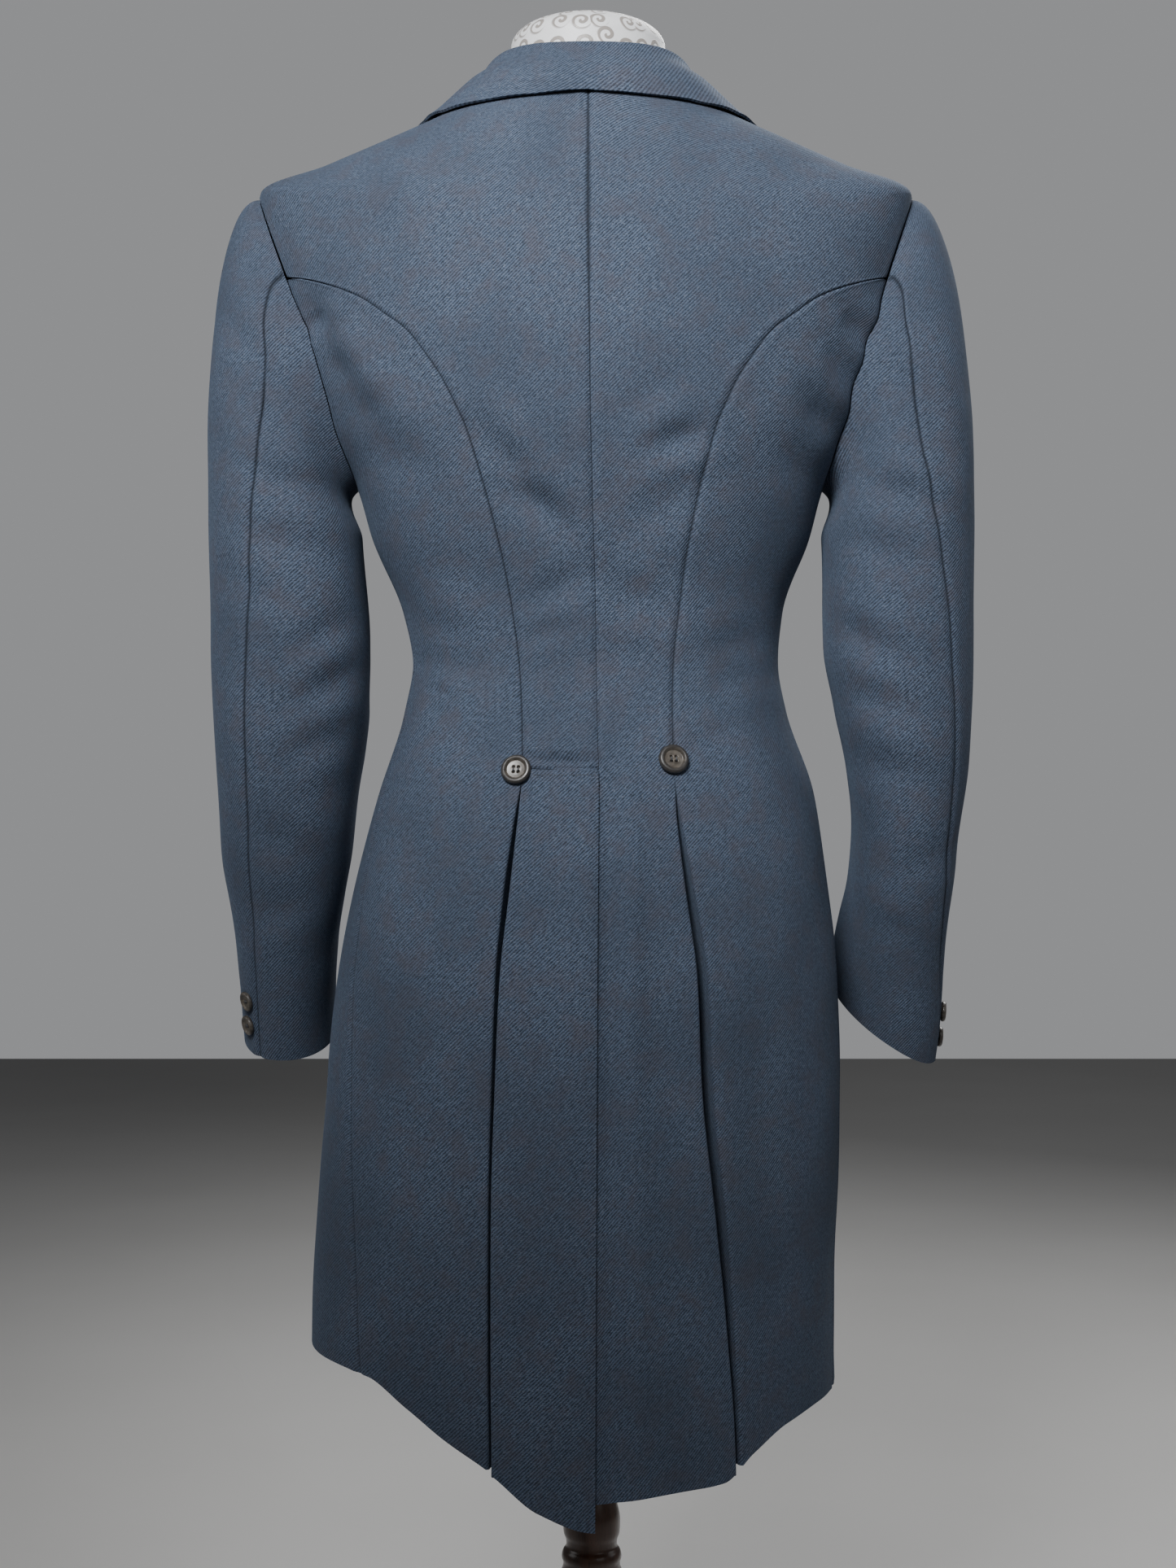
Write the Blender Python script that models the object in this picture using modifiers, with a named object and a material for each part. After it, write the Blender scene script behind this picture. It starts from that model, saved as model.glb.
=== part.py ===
"""A wool frock coat that stands open and hollow on a limbless dress form, in metres, +Z up.

The coat's front faces -Y and its left side is at +X. The origin is the middle of the base's underside.
Every body panel is a stretch of one surface, body_point, which is worked out from the rings in BODY.
"""

import math

import bpy
import numpy as np

WALL = 0.0018
SEAM = 0.0002
TAPER = 0.0005
SEAM_DROP = 0.0008
SEAM_TURN = 0.45
LAP = 0.0028
NAPE = 1.432
TIP = 1.335
ARMPIT = 1.160
BACK_JOIN = 1.2895
FOLD_RADIUS = 0.0030
PLEAT_DEPTH = 0.024
BREAK = 1.075

# The rings of the body from hem to nape. level is the height at the centre back.
BODY_COLUMNS = "level mid left right side_y back_y front_y side_z front_z square"
BODY = [
    (0.44, -0.0020, 0.2060, 0.1730, -0.005, 0.150, -0.160, 0.44, 0.44, 2.30),
    (0.60, -0.0025, 0.2015, 0.1715, -0.005, 0.147, -0.155, 0.60, 0.60, 2.30),
    (0.71, -0.0030, 0.1950, 0.1745, -0.004, 0.143, -0.150, 0.71, 0.71, 2.30),
    (0.81, -0.0035, 0.1860, 0.1720, -0.003, 0.138, -0.145, 0.81, 0.81, 2.30),
    (0.87, -0.0040, 0.1750, 0.1660, -0.002, 0.131, -0.138, 0.87, 0.87, 2.30),
    (0.94, -0.0045, 0.1570, 0.1545, 0.000, 0.114, -0.126, 0.94, 0.94, 2.30),
    (1.00, -0.0035, 0.1375, 0.1360, 0.000, 0.094, -0.116, 1.00, 1.00, 2.30),
    (1.035, -0.0030, 0.1305, 0.1305, 0.000, 0.087, -0.113, 1.035, 1.035, 2.30),
    (1.07, -0.0025, 0.1370, 0.1345, 0.000, 0.0885, -0.118, 1.07, 1.07, 2.30),
    (1.12, -0.0010, 0.1570, 0.1540, 0.000, 0.098, -0.128, 1.12, 1.12, 2.35),
    (1.16, 0.0000, 0.1680, 0.1660, 0.000, 0.107, -0.134, 1.16, 1.16, 2.40),
    (1.20, 0.0010, 0.1900, 0.1885, 0.000, 0.113, -0.137, 1.20, 1.20, 2.40),
    (1.2475, 0.0015, 0.2105, 0.2085, 0.000, 0.1145, -0.136, 1.2500, 1.2475, 2.40),
    (1.29, 0.0020, 0.2250, 0.2225, 0.000, 0.112, -0.131, 1.3060, 1.29, 2.40),
    (1.335, 0.0025, 0.2355, 0.2325, -0.002, 0.106, -0.122, 1.3690, 1.335, 2.35),
    (1.37, 0.0025, 0.1900, 0.1890, -0.003, 0.097, -0.109, 1.3885, 1.362, 2.30),
    (1.395, 0.0025, 0.1510, 0.1500, -0.003, 0.0875, -0.095, 1.4050, 1.382, 2.25),
    (1.415, 0.0025, 0.1150, 0.1140, -0.003, 0.0785, -0.080, 1.4205, 1.398, 2.20),
    (1.432, 0.0025, 0.0760, 0.0760, -0.003, 0.0700, -0.062, 1.4410, 1.412, 2.15),
]

# The curved side-back seam: how far it lies from the centre back at each height.
SEAM_COLUMNS = "level out"
SIDE_BACK = [
    (0.955, 0.0510),
    (0.985, 0.0510),
    (1.028, 0.0524),
    (1.057, 0.0555),
    (1.089, 0.0603),
    (1.110, 0.0640),
    (1.137, 0.0700),
    (1.165, 0.0774),
    (1.190, 0.0850),
    (1.2065, 0.0922),
    (1.2235, 0.1009),
    (1.2390, 0.1115),
    (1.2545, 0.1240),
    (1.2650, 0.1390),
    (1.2760, 0.1570),
    (1.2820, 0.1740),
    (1.2865, 0.1930),
    (1.2895, 0.2115),
]

# The folded edges of the back pleats below the waist buttons.
PLEAT_COLUMNS = "level left right"
PLEAT = [
    (0.44, 0.0690, 0.0960),
    (0.50, 0.0690, 0.0950),
    (0.585, 0.0700, 0.0900),
    (0.66, 0.0700, 0.0830),
    (0.74, 0.0686, 0.0740),
    (0.82, 0.0660, 0.0700),
    (0.875, 0.0610, 0.0620),
    (0.93, 0.0545, 0.0535),
    (0.955, 0.0510, 0.0510),
]

# The side seam between side body and front, in degrees round from the centre back.
SIDE_COLUMNS = "level left right"
SIDE_SEAM = [
    (0.44, 46.0, 72.0),
    (0.53, 48.0, 73.0),
    (0.70, 56.0, 75.0),
    (0.85, 64.0, 77.0),
    (1.035, 78.0, 81.0),
    (1.110, 85.0, 86.0),
    (1.160, 90.0, 90.0),
]

# The height of the hem round the coat, in degrees from the centre back.
HEM_COLUMNS = "turn left right"
HEM = [
    (-20.0, 0.4590, 0.4765),
    (0.0, 0.4590, 0.4765),
    (10.4, 0.4713, 0.4800),
    (19.0, 0.4950, 0.4835),
    (28.5, 0.5150, 0.4865),
    (36.0, 0.5320, 0.5030),
    (46.0, 0.5490, 0.5175),
    (60.0, 0.5520, 0.5240),
    (90.0, 0.5530, 0.5260),
    (135.0, 0.5560, 0.5420),
    (180.0, 0.5600, 0.5580),
    (200.0, 0.5600, 0.5580),
]

# How far each front reaches past the centre front, towards the other side.
EDGE_COLUMNS = "level left right"
FRONT_EDGE = [
    (0.44, -0.0120, -0.0100),
    (0.60, -0.0040, -0.0020),
    (0.80, 0.0100, 0.0120),
    (0.98, 0.0180, 0.0180),
    (1.075, 0.0180, 0.0180),
]

# The armhole: how far it reaches behind and before the side, in degrees.
ARMHOLE_BACK = 28.0
ARMHOLE_FRONT = 36.0

# The sleeves: each ring's middle, half sizes across and deep, and its tilts and seam turn in degrees.
SLEEVE_COLUMNS = "z x y across deep lean roll seam"
SLEEVE_LEFT = [
    (1.125, 0.2200, 0.002, 0.0545, 0.0660, 0.0, 0.0, 18.0),
    (1.050, 0.2160, 0.005, 0.0565, 0.0650, 2.0, 0.0, 24.0),
    (1.000, 0.2155, 0.005, 0.0555, 0.0630, 5.0, 0.0, 27.0),
    (0.940, 0.2185, -0.002, 0.0495, 0.0590, 9.0, 0.0, 27.0),
    (0.900, 0.2205, -0.010, 0.0465, 0.0560, 13.0, 0.0, 27.0),
    (0.867, 0.2215, -0.019, 0.0415, 0.0530, 16.0, 0.0, 27.0),
    (0.830, 0.2235, -0.030, 0.0365, 0.0510, 19.0, 0.0, 28.0),
    (0.795, 0.2240, -0.042, 0.0345, 0.0500, 20.0, 0.0, 29.0),
    (0.765, 0.2235, -0.052, 0.0340, 0.0500, 20.0, 0.0, 30.0),
]
SLEEVE_RIGHT = [
    (1.125, -0.2200, 0.002, 0.0545, 0.0660, 0.0, 0.0, 22.0),
    (1.050, -0.2200, 0.005, 0.0530, 0.0640, 2.0, 0.0, 34.0),
    (1.000, -0.2235, 0.005, 0.0480, 0.0620, 5.0, 0.0, 37.0),
    (0.955, -0.2270, -0.001, 0.0425, 0.0590, 9.0, 2.0, 38.0),
    (0.907, -0.2262, -0.010, 0.0375, 0.0560, 13.0, 8.0, 42.0),
    (0.867, -0.2235, -0.020, 0.0365, 0.0535, 16.0, 14.0, 48.0),
    (0.830, -0.2200, -0.031, 0.0380, 0.0510, 18.0, 22.0, 58.0),
    (0.800, -0.2180, -0.041, 0.0390, 0.0500, 19.0, 29.0, 68.0),
    (0.775, -0.2165, -0.049, 0.0385, 0.0500, 20.0, 33.0, 74.0),
]

# Where the sleeve seams run above the top ring: share of the way from the armhole, then the turn of
# each sleeve's hind-arm seam in degrees.
CAP_SEAM_COLUMNS = "share left right"
CAP_SEAM = [
    (0.0, 30.0, 30.0),
    (0.1, 28.0, 27.0),
    (0.22, 22.0, 16.0),
    (0.36, 13.0, 9.5),
    (0.5, 10.0, 8.0),
    (0.66, 11.0, 10.0),
    (0.82, 14.0, 15.0),
    (1.0, 18.0, 22.0),
]

# The collar from the centre back to its front end: the stand's height and inward lean, and where the
# fall's edge lies on the coat.
COLLAR_COLUMNS = "turn stand lean edge_turn edge_level"
COLLAR = [
    (0.0, 0.0320, 0.0140, 0.0, 1.4235),
    (28.0, 0.0310, 0.0130, 33.0, 1.4190),
    (55.0, 0.0270, 0.0090, 60.0, 1.4145),
    (75.0, 0.0215, 0.0050, 78.0, 1.4130),
    (92.0, 0.0170, 0.0010, 97.0, 1.4060),
    (108.0, 0.0140, -0.0030, 117.0, 1.3950),
    (122.0, 0.0120, -0.0060, 140.0, 1.3800),
]

# The lapels from break to notch: the roll line's height, and the outer edge's height and reach out.
LAPEL_COLUMNS = "roll_level edge_level edge_out"
LAPEL = [
    (1.112, 1.1140, 0.0190),
    (1.135, 1.1450, 0.0330),
    (1.180, 1.2000, 0.0560),
    (1.240, 1.2600, 0.0840),
    (1.300, 1.3080, 0.1060),
    (1.345, 1.3440, 0.1160),
    (1.406, 1.3600, 0.1190),
]

# The rings of the dress form under the cloth, with the columns of BODY.
FORM = [
    (0.800, 0.0, 0.1420, 0.1400, 0.0, 0.090, -0.118, 0.800, 0.800, 2.2),
    (0.812, 0.0, 0.1500, 0.1480, 0.0, 0.096, -0.124, 0.812, 0.812, 2.2),
    (0.870, 0.0, 0.1480, 0.1460, 0.0, 0.095, -0.124, 0.870, 0.870, 2.2),
    (0.940, -0.002, 0.1400, 0.1380, 0.0, 0.090, -0.115, 0.940, 0.940, 2.2),
    (1.035, -0.003, 0.1210, 0.1210, 0.0, 0.077, -0.101, 1.035, 1.035, 2.2),
    (1.120, -0.001, 0.1440, 0.1420, 0.0, 0.088, -0.115, 1.120, 1.120, 2.2),
    (1.200, 0.001, 0.1560, 0.1560, 0.0, 0.102, -0.125, 1.200, 1.200, 2.2),
    (1.2475, 0.0015, 0.1640, 0.1640, 0.0, 0.1035, -0.124, 1.250, 1.2475, 2.2),
    (1.290, 0.002, 0.1720, 0.1720, 0.0, 0.101, -0.119, 1.310, 1.290, 2.2),
    (1.335, 0.0025, 0.1740, 0.1740, -0.002, 0.0955, -0.110, 1.360, 1.332, 2.2),
    (1.365, 0.0025, 0.1700, 0.1690, -0.003, 0.0890, -0.101, 1.381, 1.358, 2.2),
]
# The rings of its neck, and of the cap over it: height, half width, and the reach behind and before.
NECK = [
    (1.4360, 0.0630, 0.0590, -0.0460),
    (1.4500, 0.0580, 0.0510, -0.0450),
]
CAP = [
    (1.4504, 0.0580, 0.0510, -0.0450),
    (1.4780, 0.0555, 0.0460, -0.0460),
]
CAP_TOP = 1.4995

# The turned post and the round base: radius at each height, top to bottom.
POST = [
    (0.0260, 0.7995),
    (0.0260, 0.7700),
    (0.0200, 0.7600),
    (0.0175, 0.7000),
    (0.0165, 0.5500),
    (0.0170, 0.4340),
    (0.0186, 0.4290),
    (0.0203, 0.4220),
    (0.0206, 0.4150),
    (0.0200, 0.4080),
    (0.0186, 0.4040),
    (0.0186, 0.3990),
    (0.0206, 0.3960),
    (0.0216, 0.3915),
    (0.0206, 0.3875),
    (0.0206, 0.3855),
    (0.0222, 0.3800),
    (0.0222, 0.3730),
    (0.0196, 0.3640),
    (0.0180, 0.3550),
    (0.0180, 0.3200),
    (0.0210, 0.1800),
    (0.0280, 0.1000),
    (0.0230, 0.0700),
    (0.0300, 0.0560),
    (0.0340, 0.0453),
]
BASE = [
    (0.0360, 0.0450),
    (0.0600, 0.0410),
    (0.1500, 0.0340),
    (0.1800, 0.0260),
    (0.1850, 0.0140),
    (0.1850, 0.0000),
]

# Buttons: radius and height above the middle of the back face.
BUTTON = [(0.0, 0.0036), (0.0062, 0.0036), (0.0078, 0.0048), (0.0094, 0.0044), (0.0104, 0.0022), (0.0096, 0.0)]
WAIST_RADIUS = 0.0104
CUFF_RADIUS = 0.0074
BUTTON_SIDES = 12
BUTTON_LIFT = 0.0003

# Colours as red, green, blue, then roughness.
WOOL = (0.075, 0.092, 0.112, 0.95)
HORN = (0.085, 0.075, 0.065, 0.35)
LINEN = (0.42, 0.38, 0.31, 0.9)
BROCADE = (0.55, 0.56, 0.57, 0.6)
OAK = (0.07, 0.035, 0.02, 0.4)


def column(table, names, name, at):
    """A column read at any place, on a smooth curve through its rows."""
    number = names.split().index(name)
    x = np.array([row[0] for row in table])
    y = np.array([row[number] for row in table])
    at = np.clip(np.asarray(at, float), x[0], x[-1])
    slope = np.diff(y) / np.diff(x)
    inner = np.where(
        slope[:-1] * slope[1:] > 0,
        2 * slope[:-1] * slope[1:] / np.where(slope[:-1] + slope[1:] == 0, 1, slope[:-1] + slope[1:]),
        0,
    )
    tangent = np.concatenate([[slope[0]], inner, [slope[-1]]])
    i = np.clip(np.searchsorted(x, at, side="right") - 1, 0, len(x) - 2)
    step = x[i + 1] - x[i]
    t = (at - x[i]) / step
    return (
        (2 * t**3 - 3 * t**2 + 1) * y[i]
        + (t**3 - 2 * t**2 + t) * step * tangent[i]
        + (3 * t**2 - 2 * t**3) * y[i + 1]
        + (t**3 - t**2) * step * tangent[i + 1]
    )


def ring_point(turn, level, table=BODY):
    """A point of a ring. turn is in degrees from the centre back, positive towards the left side."""
    turn, level = np.broadcast_arrays(np.asarray(turn, float), np.asarray(level, float))
    value = {name: column(table, BODY_COLUMNS, name, level) for name in BODY_COLUMNS.split()[1:]}
    angle = np.radians(turn)
    sine, cosine = np.sin(angle), np.cos(angle)
    power = value["square"]
    reach = (np.abs(sine) ** power + np.abs(cosine) ** power) ** (-1 / power)
    across, along = reach * sine, reach * cosine
    half = np.where(across > 0, value["left"], value["right"])
    depth = np.where(along > 0, value["back_y"], -value["front_y"]) + np.where(along > 0, -1, 1) * value["side_y"]
    height = np.where(along > 0, level, value["front_z"])
    x = value["mid"] + half * across
    y = value["side_y"] + depth * along
    z = value["side_z"] + (height - value["side_z"]) * along**2
    return np.stack([x, y, z], axis=-1)


def ring_normal(turn, level, table=BODY):
    """The outward direction of the ringed surface."""
    step_turn, step_level = 0.5, 0.002
    round_it = ring_point(turn + step_turn, level, table) - ring_point(turn - step_turn, level, table)
    up_it = ring_point(turn, level + step_level, table) - ring_point(turn, level - step_level, table)
    normal = np.cross(up_it, round_it)
    return normal / np.linalg.norm(normal, axis=-1, keepdims=True)


def body_point(turn, level, out=0.0):
    """A point of the coat's outer surface, moved out by a distance."""
    turn, level = np.broadcast_arrays(np.asarray(turn, float), np.asarray(level, float))
    return ring_point(turn, level) + np.asarray(out)[..., None] * ring_normal(turn, level)


def turn_at(x, level, front=False):
    """The turn at which the ring of a level passes a distance x from its middle."""
    side = np.where(x > 0, 1, -1)
    half = np.where(x > 0, column(BODY, BODY_COLUMNS, "left", level), column(BODY, BODY_COLUMNS, "right", level))
    power = column(BODY, BODY_COLUMNS, "square", level)
    across = np.clip(np.abs(x) / half, 0, 0.9999)
    along = (1 - across**power) ** (1 / power)
    turn = np.degrees(np.arctan2(across, along))
    return side * (180 - turn if front else turn)


def armhole_level(round_it):
    """The level of the armhole edge at an angle round it: 90 is the shoulder tip and -90 the armpit."""
    return (TIP + ARMPIT) / 2 + (TIP - ARMPIT) / 2 * np.sin(np.radians(round_it))


def armhole_turn(level, front=False):
    """The turn of the armhole's back or front edge at a level."""
    sine = np.clip((level - (TIP + ARMPIT) / 2) / ((TIP - ARMPIT) / 2), -1, 1)
    cosine = np.sqrt(1 - sine**2)
    return 90 + ARMHOLE_FRONT * cosine if front else 90 - ARMHOLE_BACK * cosine


def cloth(name, patches, colour=WOOL, wall=WALL):
    """A closed wall of cloth from patches of points, which share the edges where they meet."""
    found, points, faces = {}, [], []
    for grid in patches:
        rows, columns = grid.shape[:2]
        ids = np.zeros((rows, columns), int)
        for row in range(rows):
            for place in range(columns):
                key = tuple(np.round(grid[row, place], 6))
                if key not in found:
                    found[key] = len(points)
                    points.append(grid[row, place])
                ids[row, place] = found[key]
        for row in range(rows - 1):
            for place in range(columns - 1):
                a, b = ids[row, place], ids[row, place + 1]
                c, d = ids[row + 1, place + 1], ids[row + 1, place]
                one, other = np.linalg.norm(points[a] - points[c]), np.linalg.norm(points[b] - points[d])
                halves = ((a, d, b), (b, d, c)) if other < one + 1e-6 else ((a, d, c), (a, c, b))
                faces += [f for f in halves if len(set(f)) == 3]
    outer = np.array(points)
    corners = np.array(faces)
    first, second, third = outer[corners[:, 0]], outer[corners[:, 1]], outer[corners[:, 2]]
    facing = np.cross(second - first, third - first)
    outward = np.zeros_like(outer)
    for place in range(3):
        np.add.at(outward, corners[:, place], facing)
    outward /= np.linalg.norm(outward, axis=1, keepdims=True)
    count = len(outer)
    edges = {(face[k], face[(k + 1) % 3]) for face in faces for k in range(3)}
    rim = [e for e in edges if (e[1], e[0]) not in edges]
    # The rim leans back a little from the seam, so that walls that meet at an angle stay apart.
    centre = np.zeros((count, 3))
    for a, b in edges:
        centre[a] += outer[b] - outer[a]
        centre[b] += outer[a] - outer[b]
    centre -= (centre * outward).sum(1, keepdims=True) * outward
    centre /= np.maximum(np.linalg.norm(centre, axis=1, keepdims=True), 1e-9)
    on_rim = np.zeros((count, 1))
    on_rim[[a for a, _ in rim]] = 1
    inner = outer - wall * outward + TAPER * on_rim * centre
    every = list(faces) + [(f[2] + count, f[1] + count, f[0] + count) for f in faces]
    for a, b in rim:
        every += [(b, a, a + count), (b, a + count, b + count)]
    return mesh_object(name, np.vstack([outer, inner]), every, colour)


def mesh_object(name, points, faces, colour):
    """A new object from points and faces, with its material."""
    mesh = bpy.data.meshes.new(name)
    mesh.from_pydata([tuple(map(float, p)) for p in points], [], [tuple(map(int, f)) for f in faces])
    mesh.update()
    return placed(name, mesh, colour)


def placed(name, mesh, colour):
    """Puts a mesh into the collection, smooth shaded, with a material of its own."""
    thing = bpy.data.objects.new(name, mesh)
    material = bpy.data.materials.new(name)
    material.use_nodes = True
    shader = material.node_tree.nodes["Principled BSDF"]
    shader.inputs["Base Color"].default_value = (*colour[:3], 1)
    shader.inputs["Roughness"].default_value = colour[3]
    shader.inputs["Metallic"].default_value = 0
    mesh.materials.append(material)
    mesh.shade_smooth()
    mesh.set_sharp_from_angle(angle=math.radians(40))
    bpy.data.collections["frock coat"].objects.link(thing)
    return thing


def between(start, end, count):
    """Rows of evenly spread values from start to end, one row for each pair."""
    share = np.linspace(0, 1, count)
    return np.asarray(start)[:, None] * (1 - share) + np.asarray(end)[:, None] * share


def degrees_of(distance, level):
    """A distance along a ring, in degrees, near enough for gaps and laps."""
    return np.degrees(distance / 0.13) + 0 * np.asarray(level)


SKIRT_ROWS = 9
UPPER = np.array([0.958, 0.985, 1.012, 1.040, 1.070, 1.110, 1.160])
CHEST = armhole_level(np.array([-66.0, -44.0, -24.0, -6.0, 9.0]))
JOIN = np.array([1.2765, 1.2830, 1.2870, 1.2895])
YOKE_UNDER = armhole_level(np.array([40.0, 56.0, 72.0, 90.0]))
YOKE = np.array([1.352, 1.370, 1.392, 1.412, 1.4318])


def pleat_out(side, level):
    """How far the pleat fold, or the side-back seam above it, lies from the middle."""
    fold = column(PLEAT, PLEAT_COLUMNS, "left" if side > 0 else "right", level)
    seam = column(SIDE_BACK, SEAM_COLUMNS, "out", level)
    return np.where(level < 0.955, fold, seam)


def oriented(grid, side):
    """Rows run up; the columns are turned so that faces point out on either side."""
    return grid if side > 0 else grid[:, ::-1]


def back_panel(side):
    """Half of the back with its tail. The left tail is raised a lap above the right one's extension."""
    name = "left" if side > 0 else "right"
    columns = 10

    def end_at(level):
        seam = turn_at(side * pleat_out(side, level), level) * side
        top = armhole_turn(level)
        end = np.where(level < BACK_JOIN + 1e-6, np.where(level > CHEST[-1], np.minimum(seam, top), seam), top)
        end = np.where(level > TIP - 1e-6, 90.0, end)
        return end - degrees_of(SEAM, level)

    def skirt_end(level):
        fold = turn_at(side * (pleat_out(side, level) - 0.0035), level) * side
        return fold

    def raised(turns, levels):
        lap = LAP if side > 0 else 0.0
        return lap * np.clip((0.956 - levels) / 0.006, 0, 1) * np.ones_like(turns)

    start = degrees_of(SEAM, 0)
    upper = np.concatenate([UPPER, CHEST, JOIN, YOKE_UNDER, YOKE])
    upper_grid = body_point(
        side * between(np.full(len(upper), start), end_at(upper), columns),
        np.broadcast_to(upper[:, None], (len(upper), columns)),
    )
    share = np.linspace(0, 1, columns)
    rows = np.linspace(0, 1, SKIRT_ROWS)
    hem_end = skirt_end(np.array([0.49]))[0]
    hem_turns = start + (hem_end - start) * share
    hem = column(HEM, HEM_COLUMNS, name, hem_turns)
    levels = hem + (UPPER[0] - hem) * rows[:, None]
    ends = np.where(rows[:, None] == 1, end_at(levels), skirt_end(levels))
    turns = start + (ends - start) * share
    skirt_grid = body_point(side * turns, levels, raised(turns, levels))
    skirt_grid[-1] = upper_grid[0]
    fold = turned_in(skirt_grid, levels[:, -1], side, -1)
    patches = [oriented(upper_grid, side), oriented(skirt_grid, side), oriented(fold, side)]
    if side < 0:
        lap_rows = levels[:-1, :1] + np.zeros(4)
        reach = np.linspace(0, 1, 4) * 0.030
        under = turn_at(reach + 1e-5, lap_rows)
        under[:, 0] = -start
        flap = body_point(under, lap_rows, -0.0002 * (reach > 0) * np.ones_like(lap_rows))
        flap[:, 0] = skirt_grid[:-1, 0]
        patches.append(flap)
    return cloth(f"back_{name}", patches)


def turned_in(grid, levels, side, towards):
    """A pleat's turned-in depth, joined to the last (-1) or first (1) column of a skirt grid."""
    edge = grid[:, -1] if towards < 0 else grid[:, 0]
    turn = turn_at(side * pleat_out(side, levels), levels)
    normal = ring_normal(turn, levels)
    outward = ring_point(turn + 0.5, levels) - ring_point(turn - 0.5, levels)
    outward *= -side * towards / np.linalg.norm(outward, axis=1, keepdims=True)
    share = np.clip((0.957 - levels) / 0.05, 0, 1)
    radius, deep = FOLD_RADIUS * share, PLEAT_DEPTH * share
    rows = []
    for angle, extra in ((0, 0), (50, 0), (90, 0), (90, 0.5), (90, 1)):
        a = math.radians(angle)
        place = edge + (radius * math.sin(a))[:, None] * outward
        rows.append(place - (radius * (1 - math.cos(a)) + deep * extra)[:, None] * normal)
    made = np.stack(rows, axis=1)
    return made if towards < 0 else made[:, ::-1]


def side_panel(side):
    """A side body, from the side-back seam and pleat to the side seam, and up to the armhole."""
    name = "left" if side > 0 else "right"
    columns = 9
    upper = np.concatenate([UPPER, CHEST, JOIN[:3] - SEAM_DROP])

    def start_at(level):
        drop = SEAM_DROP * (level > CHEST[-1] + 0.001)
        return turn_at(side * pleat_out(side, level + drop), level + drop) * side + degrees_of(SEAM, level)

    def side_at(level):
        seam = column(SIDE_SEAM, SIDE_COLUMNS, name, level)
        return np.where(level < ARMPIT + 1e-6, seam, armhole_turn(level)) - degrees_of(SEAM, level)

    share = np.linspace(0, 1, columns)
    upper_grid = body_point(
        side * between(start_at(upper), side_at(upper), columns),
        np.broadcast_to(upper[:, None], (len(upper), columns)),
    )
    # The last row runs straight along the seam, so that the panel's tip stays whole.
    ends = JOIN[2:] - SEAM_DROP
    ends = body_point(side * start_at(ends), ends)
    along = 0.95 * share[:, None]
    upper_grid = np.concatenate([upper_grid, (ends[:1] * (1 - along) + ends[1:] * along)[None]])
    rows = np.linspace(0, 1, SKIRT_ROWS)
    first = turn_at(side * (pleat_out(side, np.array([0.50])) + 0.0035), np.array([0.50]))[0] * side
    hem_turns = first + (column(SIDE_SEAM, SIDE_COLUMNS, name, 0.53) - first) * share
    hem = column(HEM, HEM_COLUMNS, name, hem_turns)
    levels = hem + (UPPER[0] - hem) * rows[:, None]
    fold = turn_at(side * (pleat_out(side, levels[:, 0]) + 0.0035), levels[:, 0]) * side
    turns = fold[:, None] * (1 - share) + side_at(levels) * share
    skirt_grid = body_point(side * turns, levels)
    skirt_grid[-1] = upper_grid[0]
    fold_grid = turned_in(skirt_grid, levels[:, 0], side, 1)
    patches = [oriented(upper_grid, side), oriented(skirt_grid, side), oriented(fold_grid, side)]
    return cloth(f"side_{name}", patches)


def roll_out(level):
    """How far the lapel's roll line lies from the middle at a level."""
    return 0.002 + 0.068 * np.clip((level - BREAK) / (NAPE - BREAK), 0, 1)


def front_lap(turns, levels, side):
    """The left front is raised near the centre front, where it laps over the right one."""
    if side < 0:
        return np.zeros(np.broadcast(turns, levels).shape)
    share = np.clip((turns - 152) / 16, 0, 1)
    return LAP * share**2 * (3 - 2 * share) * np.clip((1.145 - levels) / 0.03, 0, 1)


def front_panel(side):
    """A front, from the side seam and armhole to its edge, and up to the lapel's roll line."""
    name = "left" if side > 0 else "right"
    columns = 11
    upper = np.concatenate([UPPER, CHEST, JOIN[1:3], YOKE_UNDER, YOKE])

    def start_at(level):
        seam = column(SIDE_SEAM, SIDE_COLUMNS, name, level)
        start = np.where(level < ARMPIT + 1e-6, seam, armhole_turn(level, front=True))
        start = np.where(level > TIP - 1e-6, 90.0, start)
        return start + degrees_of(SEAM, level)

    def end_at(level):
        past = column(FRONT_EDGE, EDGE_COLUMNS, name, level)
        half = column(BODY, BODY_COLUMNS, "left", level)
        low = 180 + np.degrees(np.arcsin(past / half))
        high = turn_at(roll_out(level), level, front=True)
        blend = np.clip((level - BREAK) / 0.035, 0, 1)
        return low * (1 - blend) + high * blend

    turns = between(start_at(upper), end_at(upper), columns)
    levels = np.broadcast_to(upper[:, None], turns.shape)
    upper_grid = body_point(side * turns, levels, front_lap(turns, levels, side))
    share = np.linspace(0, 1, columns)
    rows = np.linspace(0, 1, SKIRT_ROWS)
    first = column(SIDE_SEAM, SIDE_COLUMNS, name, 0.53)
    hem_turns = first + (180 - first) * share
    hem = column(HEM, HEM_COLUMNS, name, hem_turns)
    levels = hem + (UPPER[0] - hem) * rows[:, None]
    turns = start_at(levels) * (1 - share) + end_at(levels) * share
    skirt_grid = body_point(side * turns, levels, front_lap(turns, levels, side))
    skirt_grid[-1] = upper_grid[0]
    return cloth(f"front_{name}", [oriented(upper_grid, side), oriented(skirt_grid, side)])


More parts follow.
